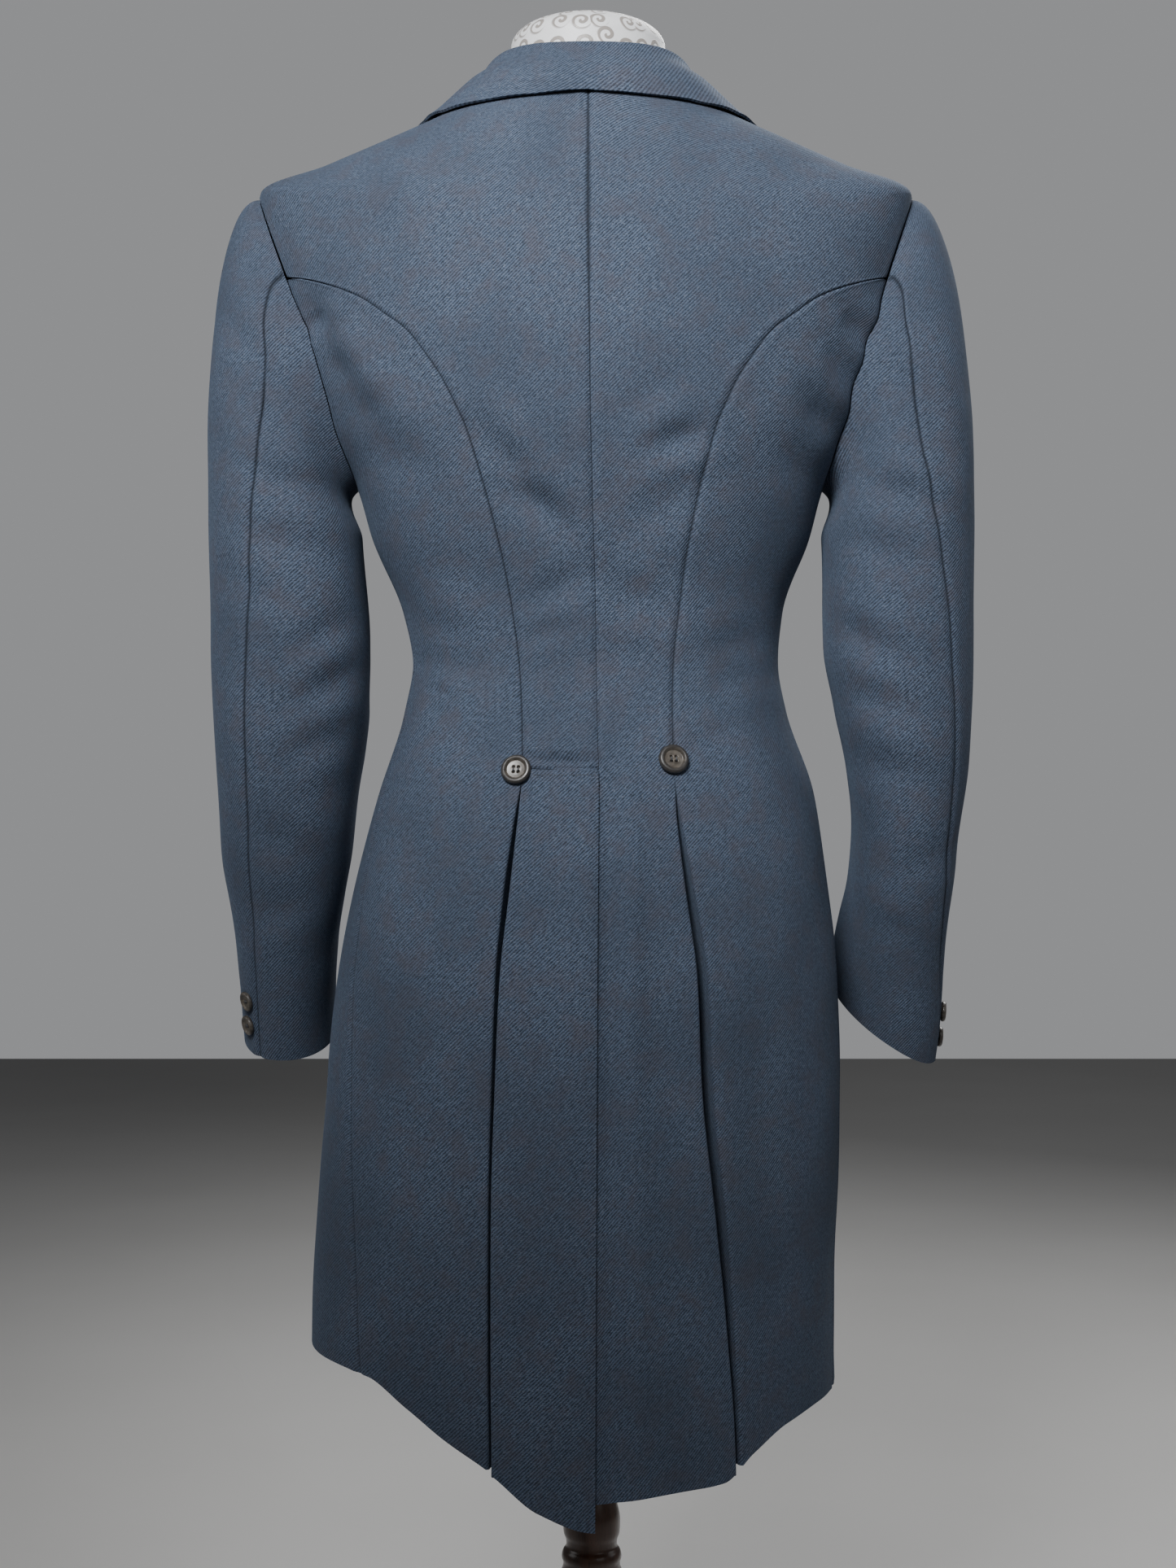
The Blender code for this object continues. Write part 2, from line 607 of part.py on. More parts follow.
def lapel(side):
    """A lapel that lies on the front, from the roll line to its edge."""
    name = "left" if side > 0 else "right"
    share = np.linspace(0, 1, 8)
    rows = np.linspace(LAPEL[0][0], LAPEL[-1][0], 11)
    edge_level = column(LAPEL, LAPEL_COLUMNS, "edge_level", rows)
    edge_out = column(LAPEL, LAPEL_COLUMNS, "edge_out", rows)
    roll_turn = turn_at(roll_out(rows), rows, front=True)
    edge_turn = turn_at(edge_out, edge_level, front=True)
    levels = between(rows, edge_level, 8)
    turns = between(roll_turn, edge_turn, 8)
    swell = 0.003 * np.sin(np.pi * share) * np.clip((rows[:, None] - LAPEL[0][0]) / 0.05, 0, 1)
    out = WALL + 0.0013 + front_lap(turns, levels, side) + swell
    return cloth(f"lapel_{name}", [oriented(body_point(side * turns, levels, out), -side)])


def collar():
    """The collar: a stand up from the neck seam, a rounded fold, and a fall that lies on the shoulders."""
    half = np.array([0, 14, 27, 39, 51, 62, 73, 84, 95, 105, 114, 122.0])
    turns = np.concatenate([-half[:0:-1], half])
    size, side = np.abs(turns), np.where(turns < 0, -1, 1)
    value = {name: column(COLLAR, COLLAR_COLUMNS, name, size) for name in COLLAR_COLUMNS.split()[1:]}
    up = np.array([0, 0, 1.0])
    radial = ring_normal(turns, np.full(len(turns), NAPE)) * [1, 1, 0]
    radial /= np.linalg.norm(radial, axis=1, keepdims=True)
    foot = body_point(turns, np.full(len(turns), NAPE)) - radial * 0.0006 + up * 0.0012
    fold = foot + up * value["stand"][:, None] - radial * value["lean"][:, None]
    radius = 0.0034
    inside = fold - radial * radius - up * 0.004
    rows = [foot, foot * 0.5 + inside * 0.5, inside]
    for angle in (0, 50, 90, 130, 180):
        a = math.radians(angle)
        rows.append(fold - radial * radius * math.cos(a) + up * radius * (math.sin(a) - 1))
    top = rows[-1]
    edge_turn, edge_level = value["edge_turn"] * side, value["edge_level"]
    edge = body_point(edge_turn, edge_level, WALL + 0.0012)
    for share in (0.3, 0.65, 1.0):
        turn = turns * (1 - share) + edge_turn * share
        level = NAPE * (1 - share) + edge_level * share
        lying = body_point(turn, level, WALL + 0.0012 + 0.014 * (1 - share) ** 1.5)
        straight = top * (1 - share) + edge * share
        keep = (1 - share) ** 1.5
        rows.append(straight * keep + lying * (1 - keep))
    return cloth("collar", [np.stack(rows, axis=1)])


def armhole_point(side, round_it, out=0.0):
    """A point of the armhole edge at an angle round it, where 0 is at the back and 180 at the front."""
    level = armhole_level(np.where(np.abs(round_it) > 90, 180 - round_it, round_it))
    front = (np.asarray(round_it) % 360 > 90) & (np.asarray(round_it) % 360 < 270)
    turn = np.where(front, armhole_turn(level, True), armhole_turn(level, False))
    return body_point(side * turn, level, out)


def sleeve_points(side, rounds, steps_cap, steps_arm):
    """Sleeve rings. rounds is the angle round the arm: 0 behind, 90 outside, 180 before, 270 inside."""
    table = SLEEVE_LEFT if side > 0 else SLEEVE_RIGHT
    table = table[::-1]
    angle = np.radians(rounds)
    start = armhole_point(side, rounds)
    middle = armhole_point(side, np.arange(0, 360, 15)).mean(axis=0)
    hole = np.array([side * 0.97, 0.0, -0.24])
    radial = start - middle
    radial /= np.linalg.norm(radial, axis=1, keepdims=True)

    def ring(z):
        value = {name: column(table, SLEEVE_COLUMNS, name, z) for name in SLEEVE_COLUMNS.split()[1:]}
        lean, roll = math.radians(value["lean"]), math.radians(value["roll"])
        across = np.array([side * math.cos(roll), 0, -math.sin(roll)])
        deep = np.array([0, math.cos(lean), -math.sin(lean)])
        power = 2.15
        reach = (np.abs(np.sin(angle)) ** power + np.abs(np.cos(angle)) ** power) ** (-1 / power)
        centre = np.array([value["x"], value["y"], z])
        out = (reach * np.sin(angle))[:, None] * across * value["across"] / math.cos(roll)
        back = (reach * np.cos(angle))[:, None] * deep * value["deep"]
        return centre + out + back

    top = table[-1][0]
    end = ring(top)
    length = np.linalg.norm(end - start, axis=1)[:, None]
    leave = hole * 1.0 + radial * 0.22
    leave /= np.linalg.norm(leave, axis=1, keepdims=True)
    arrive = ring(top - 0.01) - ring(top)
    arrive /= np.linalg.norm(arrive, axis=1, keepdims=True)
    first = start + leave * 0.0007
    rows = []
    for share in steps_cap:
        t = share
        pull_out, pull_down = np.minimum(0.62 * length + 0.03, 0.11), 1.0 * length
        rows.append(
            (2 * t**3 - 3 * t**2 + 1) * first
            + (t**3 - 2 * t**2 + t) * leave * pull_out
            + (3 * t**2 - 2 * t**3) * end
            + (t**3 - t**2) * arrive * pull_down
        )
    for z in steps_arm:
        rows.append(ring(z))
    return np.stack(rows, axis=0)


def sleeve(side):
    """The two pieces of a sleeve, parted at the hind-arm and fore-arm seams."""
    name = "left" if side > 0 else "right"
    table = (SLEEVE_LEFT if side > 0 else SLEEVE_RIGHT)[::-1]
    cap = np.array([0.0, 0.1, 0.22, 0.36, 0.5, 0.66, 0.82, 1.0])
    arm = np.linspace(table[-1][0], table[0][0], 11)[1:]
    # The seams turn along the arm, so the round of each column is worked out row by row.
    levels = np.concatenate([np.full(len(cap), table[-1][0]), arm])
    seam = column(table, SLEEVE_COLUMNS, "seam", levels)
    seam[: len(cap)] = column(CAP_SEAM, CAP_SEAM_COLUMNS, name, cap)
    gap = SEAM_TURN
    for part, low, high, columns in (("top", 0.0, 180.0, 12), ("under", 180.0, 360.0, 11)):
        rows = []
        for number, turn in enumerate(seam):
            rounds = turn + low + gap + (high - low - 2 * gap) * np.linspace(0, 1, columns)
            if number < len(cap):
                rows.append(sleeve_points(side, rounds, cap[number : number + 1], [])[0])
            else:
                rows.append(sleeve_points(side, rounds, [], arm[number - len(cap) : number - len(cap) + 1])[0])
        grid = np.stack(rows, axis=0)
        cloth(f"sleeve_{part}_{name}", [grid if side < 0 else grid[:, ::-1]])


def lathe(name, profile, colour, sides=40):
    """A turned piece from a profile of radius and height, top to bottom."""
    mesh = bpy.data.meshes.new(name)
    closed = [(0.0, profile[0][1])] + list(profile) + [(0.0, profile[-1][1])]
    closed = [p for i, p in enumerate(closed) if i == 0 or p != closed[i - 1]]
    mesh.from_pydata([(r, 0, z) for r, z in closed], [(i, i + 1) for i in range(len(closed) - 1)], [])
    thing = placed(name, mesh, colour)
    screw = thing.modifiers.new("turn", "SCREW")
    screw.steps = sides
    screw.render_steps = sides
    screw.use_merge_vertices = True
    screw.merge_threshold = 0.00001
    return thing


def button(name, place, normal, radius):
    """A round button that lies just clear of the cloth, facing along a direction."""
    scale = radius / BUTTON[4][0]
    thing = lathe(name, [(r * scale, h * scale) for r, h in BUTTON], HORN, BUTTON_SIDES)
    normal = np.array(normal) / np.linalg.norm(normal)
    up = np.array([0, 0, 1.0])
    side = np.cross(up, normal)
    side /= np.linalg.norm(side)
    other = np.cross(normal, side)
    for row in range(3):
        for number, axis in enumerate((side, other, normal)):
            thing.matrix_world[row][number] = float(axis[row])
        thing.matrix_world[row][3] = float(place[row] + normal[row] * BUTTON_LIFT)
    return thing


def buttons():
    """The waist, cuff and front buttons."""
    for side, name, x, z in ((1, "left", 0.0550, 0.9570), (-1, "right", -0.0505, 0.9640)):
        turn = turn_at(np.array(x), np.array(z))
        place = body_point(turn, z, 0.0)
        button(f"waist_button_{name}", place, ring_normal(turn, np.array(z)), WAIST_RADIUS)
        table = (SLEEVE_LEFT if side > 0 else SLEEVE_RIGHT)[::-1]
        for number, height in ((1, 0.804), (2, 0.786)):
            turned = float(column(table, SLEEVE_COLUMNS, "seam", height)) + 14
            spots = np.array([turned - 4, turned, turned + 4])
            here = sleeve_points(side, spots, [], [height, height - 0.004])
            along = here[1, 1] - here[0, 1]
            round_it = here[0, 2] - here[0, 0]
            normal = np.cross(along, round_it) * -side
            normal /= np.linalg.norm(normal)
            button(f"cuff_button_{name}_{number}", here[0, 1], normal, CUFF_RADIUS)
    # The two upper front buttons stand a little further out, because the waist is hollow there.
    for number, (z, extra) in enumerate(((1.060, 0.0005), (1.010, 0.0004), (0.960, 0.0))):
        place = body_point(180.0, z, LAP + extra)
        button(f"front_button_{number + 1}", place, ring_normal(np.array(180.0), np.array(z)), WAIST_RADIUS)


def form():
    """The dress form: a smooth torso, flat under, up to the top of its neck."""
    sides = 28
    turns = np.linspace(0, 360, sides, endpoint=False)
    turns = np.where(turns > 180, turns - 360, turns)
    rows = [ring_point(turns, np.full(sides, level), FORM) for level in
            (0.800, 0.815, 0.870, 0.940, 0.985, 1.035, 1.075, 1.120, 1.160, 1.200, 1.2475, 1.290, 1.315, 1.335, 1.352, 1.365)]
    for level, under in ((1.392, 0.0009), (1.408, 0.0010), (1.4215, 0.0026)):
        rows.append(body_point(turns, np.full(sides, level), -WALL - under))
    angle = np.radians(turns)
    for z, half, back, front in NECK:
        depth = np.where(np.cos(angle) > 0, back, -front)
        spot = np.stack([0.0025 + half * np.sin(angle), depth * np.cos(angle), np.full(sides, z)], axis=1)
        rows.append(spot)
    closed_rings("form_torso", np.array(rows), LINEN)
    caps = []
    for z, half, back, front in CAP:
        depth = np.where(np.cos(angle) > 0, back, -front)
        caps.append(np.stack([0.0025 + half * np.sin(angle), depth * np.cos(angle), np.full(sides, z)], axis=1))
    base = caps[-1]
    middle = base.mean(axis=0)
    for share in (0.4, 0.72, 0.93):
        ring = middle + (base - middle) * math.sqrt(1 - share**2)
        ring[:, 2] = base[:, 2] + (CAP_TOP - base[0, 2]) * share
        caps.append(ring)
    closed_rings("neck_cap", np.array(caps), BROCADE, CAP_TOP)


def closed_rings(name, rings, colour, tip=None):
    """A closed solid through rings of points, flat at the bottom and flat or pointed at the top."""
    count, sides = rings.shape[:2]
    points = rings.reshape(-1, 3)
    bottom = rings[0].mean(axis=0)
    top = rings[-1].mean(axis=0)
    if tip:
        top[2] = tip
    points = np.vstack([points, bottom, top])
    faces = []
    for i in range(sides):
        j = (i + 1) % sides
        for row in range(count - 1):
            a, b, c, d = row * sides + i, row * sides + j, (row + 1) * sides + j, (row + 1) * sides + i
            faces += [(a, d, b), (b, d, c)]
        faces += [(len(points) - 2, i, j), (len(points) - 1, (count - 1) * sides + j, (count - 1) * sides + i)]
    return mesh_object(name, points, faces, colour)


def build():
    """Makes every piece."""
    for thing in list(bpy.data.objects):
        bpy.data.objects.remove(thing)
    bpy.context.scene.collection.children.link(bpy.data.collections.new("frock coat"))
    for side in (1, -1):
        back_panel(side)
        side_panel(side)
        front_panel(side)
        lapel(side)
        sleeve(side)
    collar()
    buttons()
    form()
    lathe("post", POST, OAK, 16)
    lathe("base", BASE, OAK, 32)


build()
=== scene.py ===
"""Dresses the frock coat: fine cloth, pressed seams, creases, horn buttons, the form and its stand."""

import math

import bpy
import numpy as np
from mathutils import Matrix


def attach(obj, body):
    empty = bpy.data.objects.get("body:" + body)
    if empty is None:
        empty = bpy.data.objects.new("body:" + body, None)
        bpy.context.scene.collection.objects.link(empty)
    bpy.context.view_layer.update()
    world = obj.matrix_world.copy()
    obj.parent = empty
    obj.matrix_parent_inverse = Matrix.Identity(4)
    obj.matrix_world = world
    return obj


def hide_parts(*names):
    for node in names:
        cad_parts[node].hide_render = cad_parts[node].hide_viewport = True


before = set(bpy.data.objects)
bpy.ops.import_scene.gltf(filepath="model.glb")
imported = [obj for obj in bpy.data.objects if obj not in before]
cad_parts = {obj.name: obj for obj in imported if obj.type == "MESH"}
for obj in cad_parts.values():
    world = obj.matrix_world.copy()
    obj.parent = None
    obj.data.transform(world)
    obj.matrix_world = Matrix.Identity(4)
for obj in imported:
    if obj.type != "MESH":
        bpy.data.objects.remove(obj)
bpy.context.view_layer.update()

bl_info = {
    "name": "Frock Coat",
    "version": (1, 0, 0),
    "blender": (4, 5, 0),
    "location": "View3D > Sidebar > Frock Coat",
    "description": "Makes a wool frock coat on its dress form, with its creases, buttons and stand",
    "category": "Add Mesh",
}

WALL = 0.0018
SEAM = -0.00003
LAP = 0.0028
NAPE = 1.432
TIP = 1.335
ARMPIT = 1.160
BACK_JOIN = 1.2895
SKIRT_TOP = 0.966
VENT_TOP = 0.9575
FOLD_RADIUS = 0.0022
PLEAT_DEPTH = 0.022
BREAK = 1.075
ARMHOLE_BACK = 28.0
ARMHOLE_FRONT = 36.0
CAP_TOP = 1.4995
WAIST_RADIUS = 0.0104
CUFF_RADIUS = 0.0074

# The rings of the body from hem to nape. level is the height at the centre back.
BODY_COLUMNS = "level mid left right side_y back_y front_y side_z front_z square"
BODY = [
    (0.44, -0.0020, 0.2060, 0.1730, -0.005, 0.150, -0.160, 0.44, 0.44, 2.30),
    (0.60, -0.0025, 0.2015, 0.1715, -0.005, 0.147, -0.155, 0.60, 0.60, 2.30),
    (0.71, -0.0030, 0.1950, 0.1745, -0.004, 0.143, -0.150, 0.71, 0.71, 2.30),
    (0.81, -0.0035, 0.1860, 0.1720, -0.003, 0.138, -0.145, 0.81, 0.81, 2.30),
    (0.87, -0.0040, 0.1750, 0.1660, -0.002, 0.131, -0.138, 0.87, 0.87, 2.30),
    (0.94, -0.0045, 0.1570, 0.1545, 0.000, 0.114, -0.126, 0.94, 0.94, 2.30),
    (1.00, -0.0035, 0.1375, 0.1360, 0.000, 0.094, -0.116, 1.00, 1.00, 2.30),
    (1.035, -0.0030, 0.1305, 0.1305, 0.000, 0.087, -0.113, 1.035, 1.035, 2.30),
    (1.07, -0.0025, 0.1370, 0.1345, 0.000, 0.0885, -0.118, 1.07, 1.07, 2.30),
    (1.12, -0.0010, 0.1570, 0.1540, 0.000, 0.098, -0.128, 1.12, 1.12, 2.35),
    (1.16, 0.0000, 0.1680, 0.1660, 0.000, 0.107, -0.134, 1.16, 1.16, 2.40),
    (1.20, 0.0010, 0.1900, 0.1885, 0.000, 0.113, -0.137, 1.20, 1.20, 2.40),
    (1.2475, 0.0015, 0.2105, 0.2085, 0.000, 0.1145, -0.136, 1.2500, 1.2475, 2.40),
    (1.29, 0.0020, 0.2250, 0.2225, 0.000, 0.112, -0.131, 1.3060, 1.29, 2.40),
    (1.335, 0.0025, 0.2355, 0.2325, -0.002, 0.106, -0.122, 1.3690, 1.335, 2.35),
    (1.37, 0.0025, 0.1900, 0.1890, -0.003, 0.097, -0.109, 1.3885, 1.362, 2.30),
    (1.395, 0.0025, 0.1510, 0.1500, -0.003, 0.0875, -0.095, 1.4050, 1.382, 2.25),
    (1.415, 0.0025, 0.1150, 0.1140, -0.003, 0.0785, -0.080, 1.4205, 1.398, 2.20),
    (1.432, 0.0025, 0.0760, 0.0760, -0.003, 0.0700, -0.062, 1.4410, 1.412, 2.15),
]

# The curved side-back seam: how far it lies from the centre back at each height.
SEAM_COLUMNS = "level out"
SIDE_BACK = [
    (0.955, 0.0510),
    (0.985, 0.0510),
    (1.028, 0.0524),
    (1.057, 0.0555),
    (1.089, 0.0603),
    (1.110, 0.0640),
    (1.137, 0.0700),
    (1.165, 0.0774),
    (1.190, 0.0850),
    (1.2065, 0.0922),
    (1.2235, 0.1009),
    (1.2390, 0.1115),
    (1.2545, 0.1240),
    (1.2650, 0.1390),
    (1.2760, 0.1570),
    (1.2820, 0.1740),
    (1.2865, 0.1930),
    (1.2895, 0.2115),
]

# The pleats below the waist buttons: how far each lies out, and half the dark gap between its folds.
PLEAT_COLUMNS = "level left right left_gap right_gap"
PLEAT = [
    (0.44, 0.0690, 0.0960, 0.0009, 0.0009),
    (0.50, 0.0690, 0.0950, 0.0009, 0.0010),
    (0.585, 0.0700, 0.0900, 0.0010, 0.0020),
    (0.66, 0.0700, 0.0830, 0.0010, 0.0032),
    (0.74, 0.0686, 0.0740, 0.0012, 0.0034),
    (0.82, 0.0660, 0.0700, 0.0016, 0.0032),
    (0.875, 0.0610, 0.0620, 0.0020, 0.0027),
    (0.93, 0.0545, 0.0535, 0.0011, 0.0010),
    (0.955, 0.0510, 0.0510, 0.0002, 0.0002),
]

# The side seam between side body and front, in degrees round from the centre back.
SIDE_COLUMNS = "level left right"
SIDE_SEAM = [
    (0.44, 46.0, 72.0),
    (0.53, 48.0, 73.0),
    (0.70, 56.0, 75.0),
    (0.85, 64.0, 77.0),
    (1.035, 78.0, 81.0),
    (1.110, 85.0, 86.0),
    (1.160, 90.0, 90.0),
]

# The height of the hem round the coat, in degrees from the centre back.
HEM_COLUMNS = "turn left right"
HEM = [
    (-20.0, 0.4590, 0.4765),
    (0.0, 0.4590, 0.4765),
    (10.4, 0.4713, 0.4800),
    (19.0, 0.4950, 0.4835),
    (28.5, 0.5150, 0.4865),
    (36.0, 0.5320, 0.5030),
    (46.0, 0.5490, 0.5175),
    (60.0, 0.5520, 0.5240),
    (90.0, 0.5530, 0.5260),
    (135.0, 0.5560, 0.5420),
    (180.0, 0.5600, 0.5580),
    (200.0, 0.5600, 0.5580),
]

# How far each front reaches past the centre front, towards the other side.
EDGE_COLUMNS = "level left right"
FRONT_EDGE = [
    (0.44, -0.0120, -0.0100),
    (0.60, -0.0040, -0.0020),
    (0.80, 0.0100, 0.0120),
    (0.98, 0.0180, 0.0180),
    (1.075, 0.0180, 0.0180),
]

# The sleeves: each ring's middle, half sizes across and deep, and its tilts and seam turn in degrees.
SLEEVE_COLUMNS = "z x y across deep lean roll seam"
SLEEVE_LEFT = [
    (0.765, 0.2235, -0.052, 0.0340, 0.0500, 20.0, 0.0, 30.0),
    (0.795, 0.2240, -0.042, 0.0345, 0.0500, 20.0, 0.0, 29.0),
    (0.830, 0.2235, -0.030, 0.0365, 0.0510, 19.0, 0.0, 28.0),
    (0.867, 0.2215, -0.019, 0.0415, 0.0530, 16.0, 0.0, 27.0),
    (0.900, 0.2205, -0.010, 0.0465, 0.0560, 13.0, 0.0, 27.0),
    (0.940, 0.2185, -0.002, 0.0495, 0.0590, 9.0, 0.0, 27.0),
    (1.000, 0.2155, 0.005, 0.0555, 0.0630, 5.0, 0.0, 27.0),
    (1.050, 0.2160, 0.005, 0.0565, 0.0650, 2.0, 0.0, 24.0),
    (1.125, 0.2200, 0.002, 0.0545, 0.0660, 0.0, 0.0, 18.0),
]
SLEEVE_RIGHT = [
    (0.775, -0.2165, -0.049, 0.0385, 0.0500, 20.0, 33.0, 74.0),
    (0.800, -0.2180, -0.041, 0.0390, 0.0500, 19.0, 29.0, 68.0),
    (0.830, -0.2200, -0.031, 0.0380, 0.0510, 18.0, 22.0, 58.0),
    (0.867, -0.2235, -0.020, 0.0365, 0.0535, 16.0, 14.0, 48.0),
    (0.907, -0.2262, -0.010, 0.0375, 0.0560, 13.0, 8.0, 42.0),
    (0.955, -0.2270, -0.001, 0.0425, 0.0590, 9.0, 2.0, 38.0),
    (1.000, -0.2235, 0.005, 0.0480, 0.0620, 5.0, 0.0, 37.0),
    (1.050, -0.2200, 0.005, 0.0530, 0.0640, 2.0, 0.0, 34.0),
    (1.125, -0.2200, 0.002, 0.0545, 0.0660, 0.0, 0.0, 22.0),
]

# Where the sleeve seams run above the top ring: share of the way from the armhole, then the turn of
# each sleeve's hind-arm seam in degrees.
CAP_SEAM_COLUMNS = "share left right"
CAP_SEAM = [
    (0.0, 30.0, 30.0),
    (0.1, 28.0, 27.0),
    (0.22, 22.0, 16.0),
    (0.36, 13.0, 9.5),
    (0.5, 10.0, 8.0),
    (0.66, 11.0, 10.0),
    (0.82, 14.0, 15.0),
    (1.0, 18.0, 22.0),
]

# The collar from the centre back to its front end: the stand's height and inward lean, and where the
# fall's edge lies on the coat.
COLLAR_COLUMNS = "turn stand lean edge_turn edge_level"
COLLAR = [
    (0.0, 0.0320, 0.0140, 0.0, 1.4235),
    (28.0, 0.0310, 0.0130, 33.0, 1.4190),
    (55.0, 0.0270, 0.0090, 60.0, 1.4145),
    (75.0, 0.0215, 0.0050, 78.0, 1.4130),
    (92.0, 0.0170, 0.0010, 97.0, 1.4060),
    (108.0, 0.0140, -0.0030, 117.0, 1.3950),
    (122.0, 0.0120, -0.0060, 140.0, 1.3800),
]

# The lapels from break to notch: the roll line's height, and the outer edge's height and reach out.
LAPEL_COLUMNS = "roll_level edge_level edge_out"
LAPEL = [
    (1.112, 1.1140, 0.0190),
    (1.135, 1.1450, 0.0330),
    (1.180, 1.2000, 0.0560),
    (1.240, 1.2600, 0.0840),
    (1.300, 1.3080, 0.1060),
    (1.345, 1.3440, 0.1160),
    (1.406, 1.3600, 0.1190),
]

# The rings of the dress form under the cloth, with the columns of BODY.
FORM = [
    (0.800, 0.0, 0.1420, 0.1400, 0.0, 0.090, -0.118, 0.800, 0.800, 2.2),
    (0.812, 0.0, 0.1500, 0.1480, 0.0, 0.096, -0.124, 0.812, 0.812, 2.2),
    (0.870, 0.0, 0.1480, 0.1460, 0.0, 0.095, -0.124, 0.870, 0.870, 2.2),
    (0.940, -0.002, 0.1400, 0.1380, 0.0, 0.090, -0.115, 0.940, 0.940, 2.2),
    (1.035, -0.003, 0.1210, 0.1210, 0.0, 0.077, -0.101, 1.035, 1.035, 2.2),
    (1.120, -0.001, 0.1440, 0.1420, 0.0, 0.088, -0.115, 1.120, 1.120, 2.2),
    (1.200, 0.001, 0.1560, 0.1560, 0.0, 0.102, -0.125, 1.200, 1.200, 2.2),
    (1.2475, 0.0015, 0.1640, 0.1640, 0.0, 0.1035, -0.124, 1.250, 1.2475, 2.2),
    (1.290, 0.002, 0.1720, 0.1720, 0.0, 0.101, -0.119, 1.310, 1.290, 2.2),
    (1.335, 0.0025, 0.1740, 0.1740, -0.002, 0.0955, -0.110, 1.360, 1.332, 2.2),
    (1.365, 0.0025, 0.1700, 0.1690, -0.003, 0.0890, -0.101, 1.381, 1.358, 2.2),
]
NECK = [
    (1.4360, 0.0630, 0.0590, -0.0460),
    (1.4500, 0.0580, 0.0510, -0.0450),
]
CAP = [
    (1.4504, 0.0580, 0.0510, -0.0450),
    (1.4780, 0.0555, 0.0460, -0.0460),
]

POST = [
    (0.0260, 0.7995),
    (0.0260, 0.7700),
    (0.0200, 0.7600),
    (0.0175, 0.7000),
    (0.0165, 0.5500),
    (0.0170, 0.4340),
    (0.0186, 0.4290),
    (0.0203, 0.4220),
    (0.0206, 0.4150),
    (0.0200, 0.4080),
    (0.0186, 0.4040),
    (0.0186, 0.3990),
    (0.0206, 0.3960),
    (0.0216, 0.3915),
    (0.0206, 0.3875),
    (0.0206, 0.3855),
    (0.0222, 0.3800),
    (0.0222, 0.3730),
    (0.0196, 0.3640),
    (0.0180, 0.3550),
    (0.0180, 0.3200),
    (0.0210, 0.1800),
    (0.0280, 0.1000),
    (0.0230, 0.0700),
    (0.0300, 0.0560),
    (0.0340, 0.0453),
]
BASE = [
    (0.0360, 0.0450),
    (0.0600, 0.0410),
    (0.1500, 0.0340),
    (0.1800, 0.0260),
    (0.1850, 0.0140),
    (0.1850, 0.0000),
]

# Half a button's section: radius and height above its back.
BUTTON = [
    (0.0000, 0.0030),
    (0.0040, 0.0030),
    (0.0062, 0.0032),
    (0.0071, 0.0042),
    (0.0080, 0.0048),
    (0.0092, 0.0046),
    (0.0101, 0.0036),
    (0.0104, 0.0022),
    (0.0100, 0.0008),
    (0.0090, 0.0000),
    (0.0000, 0.0000),
]

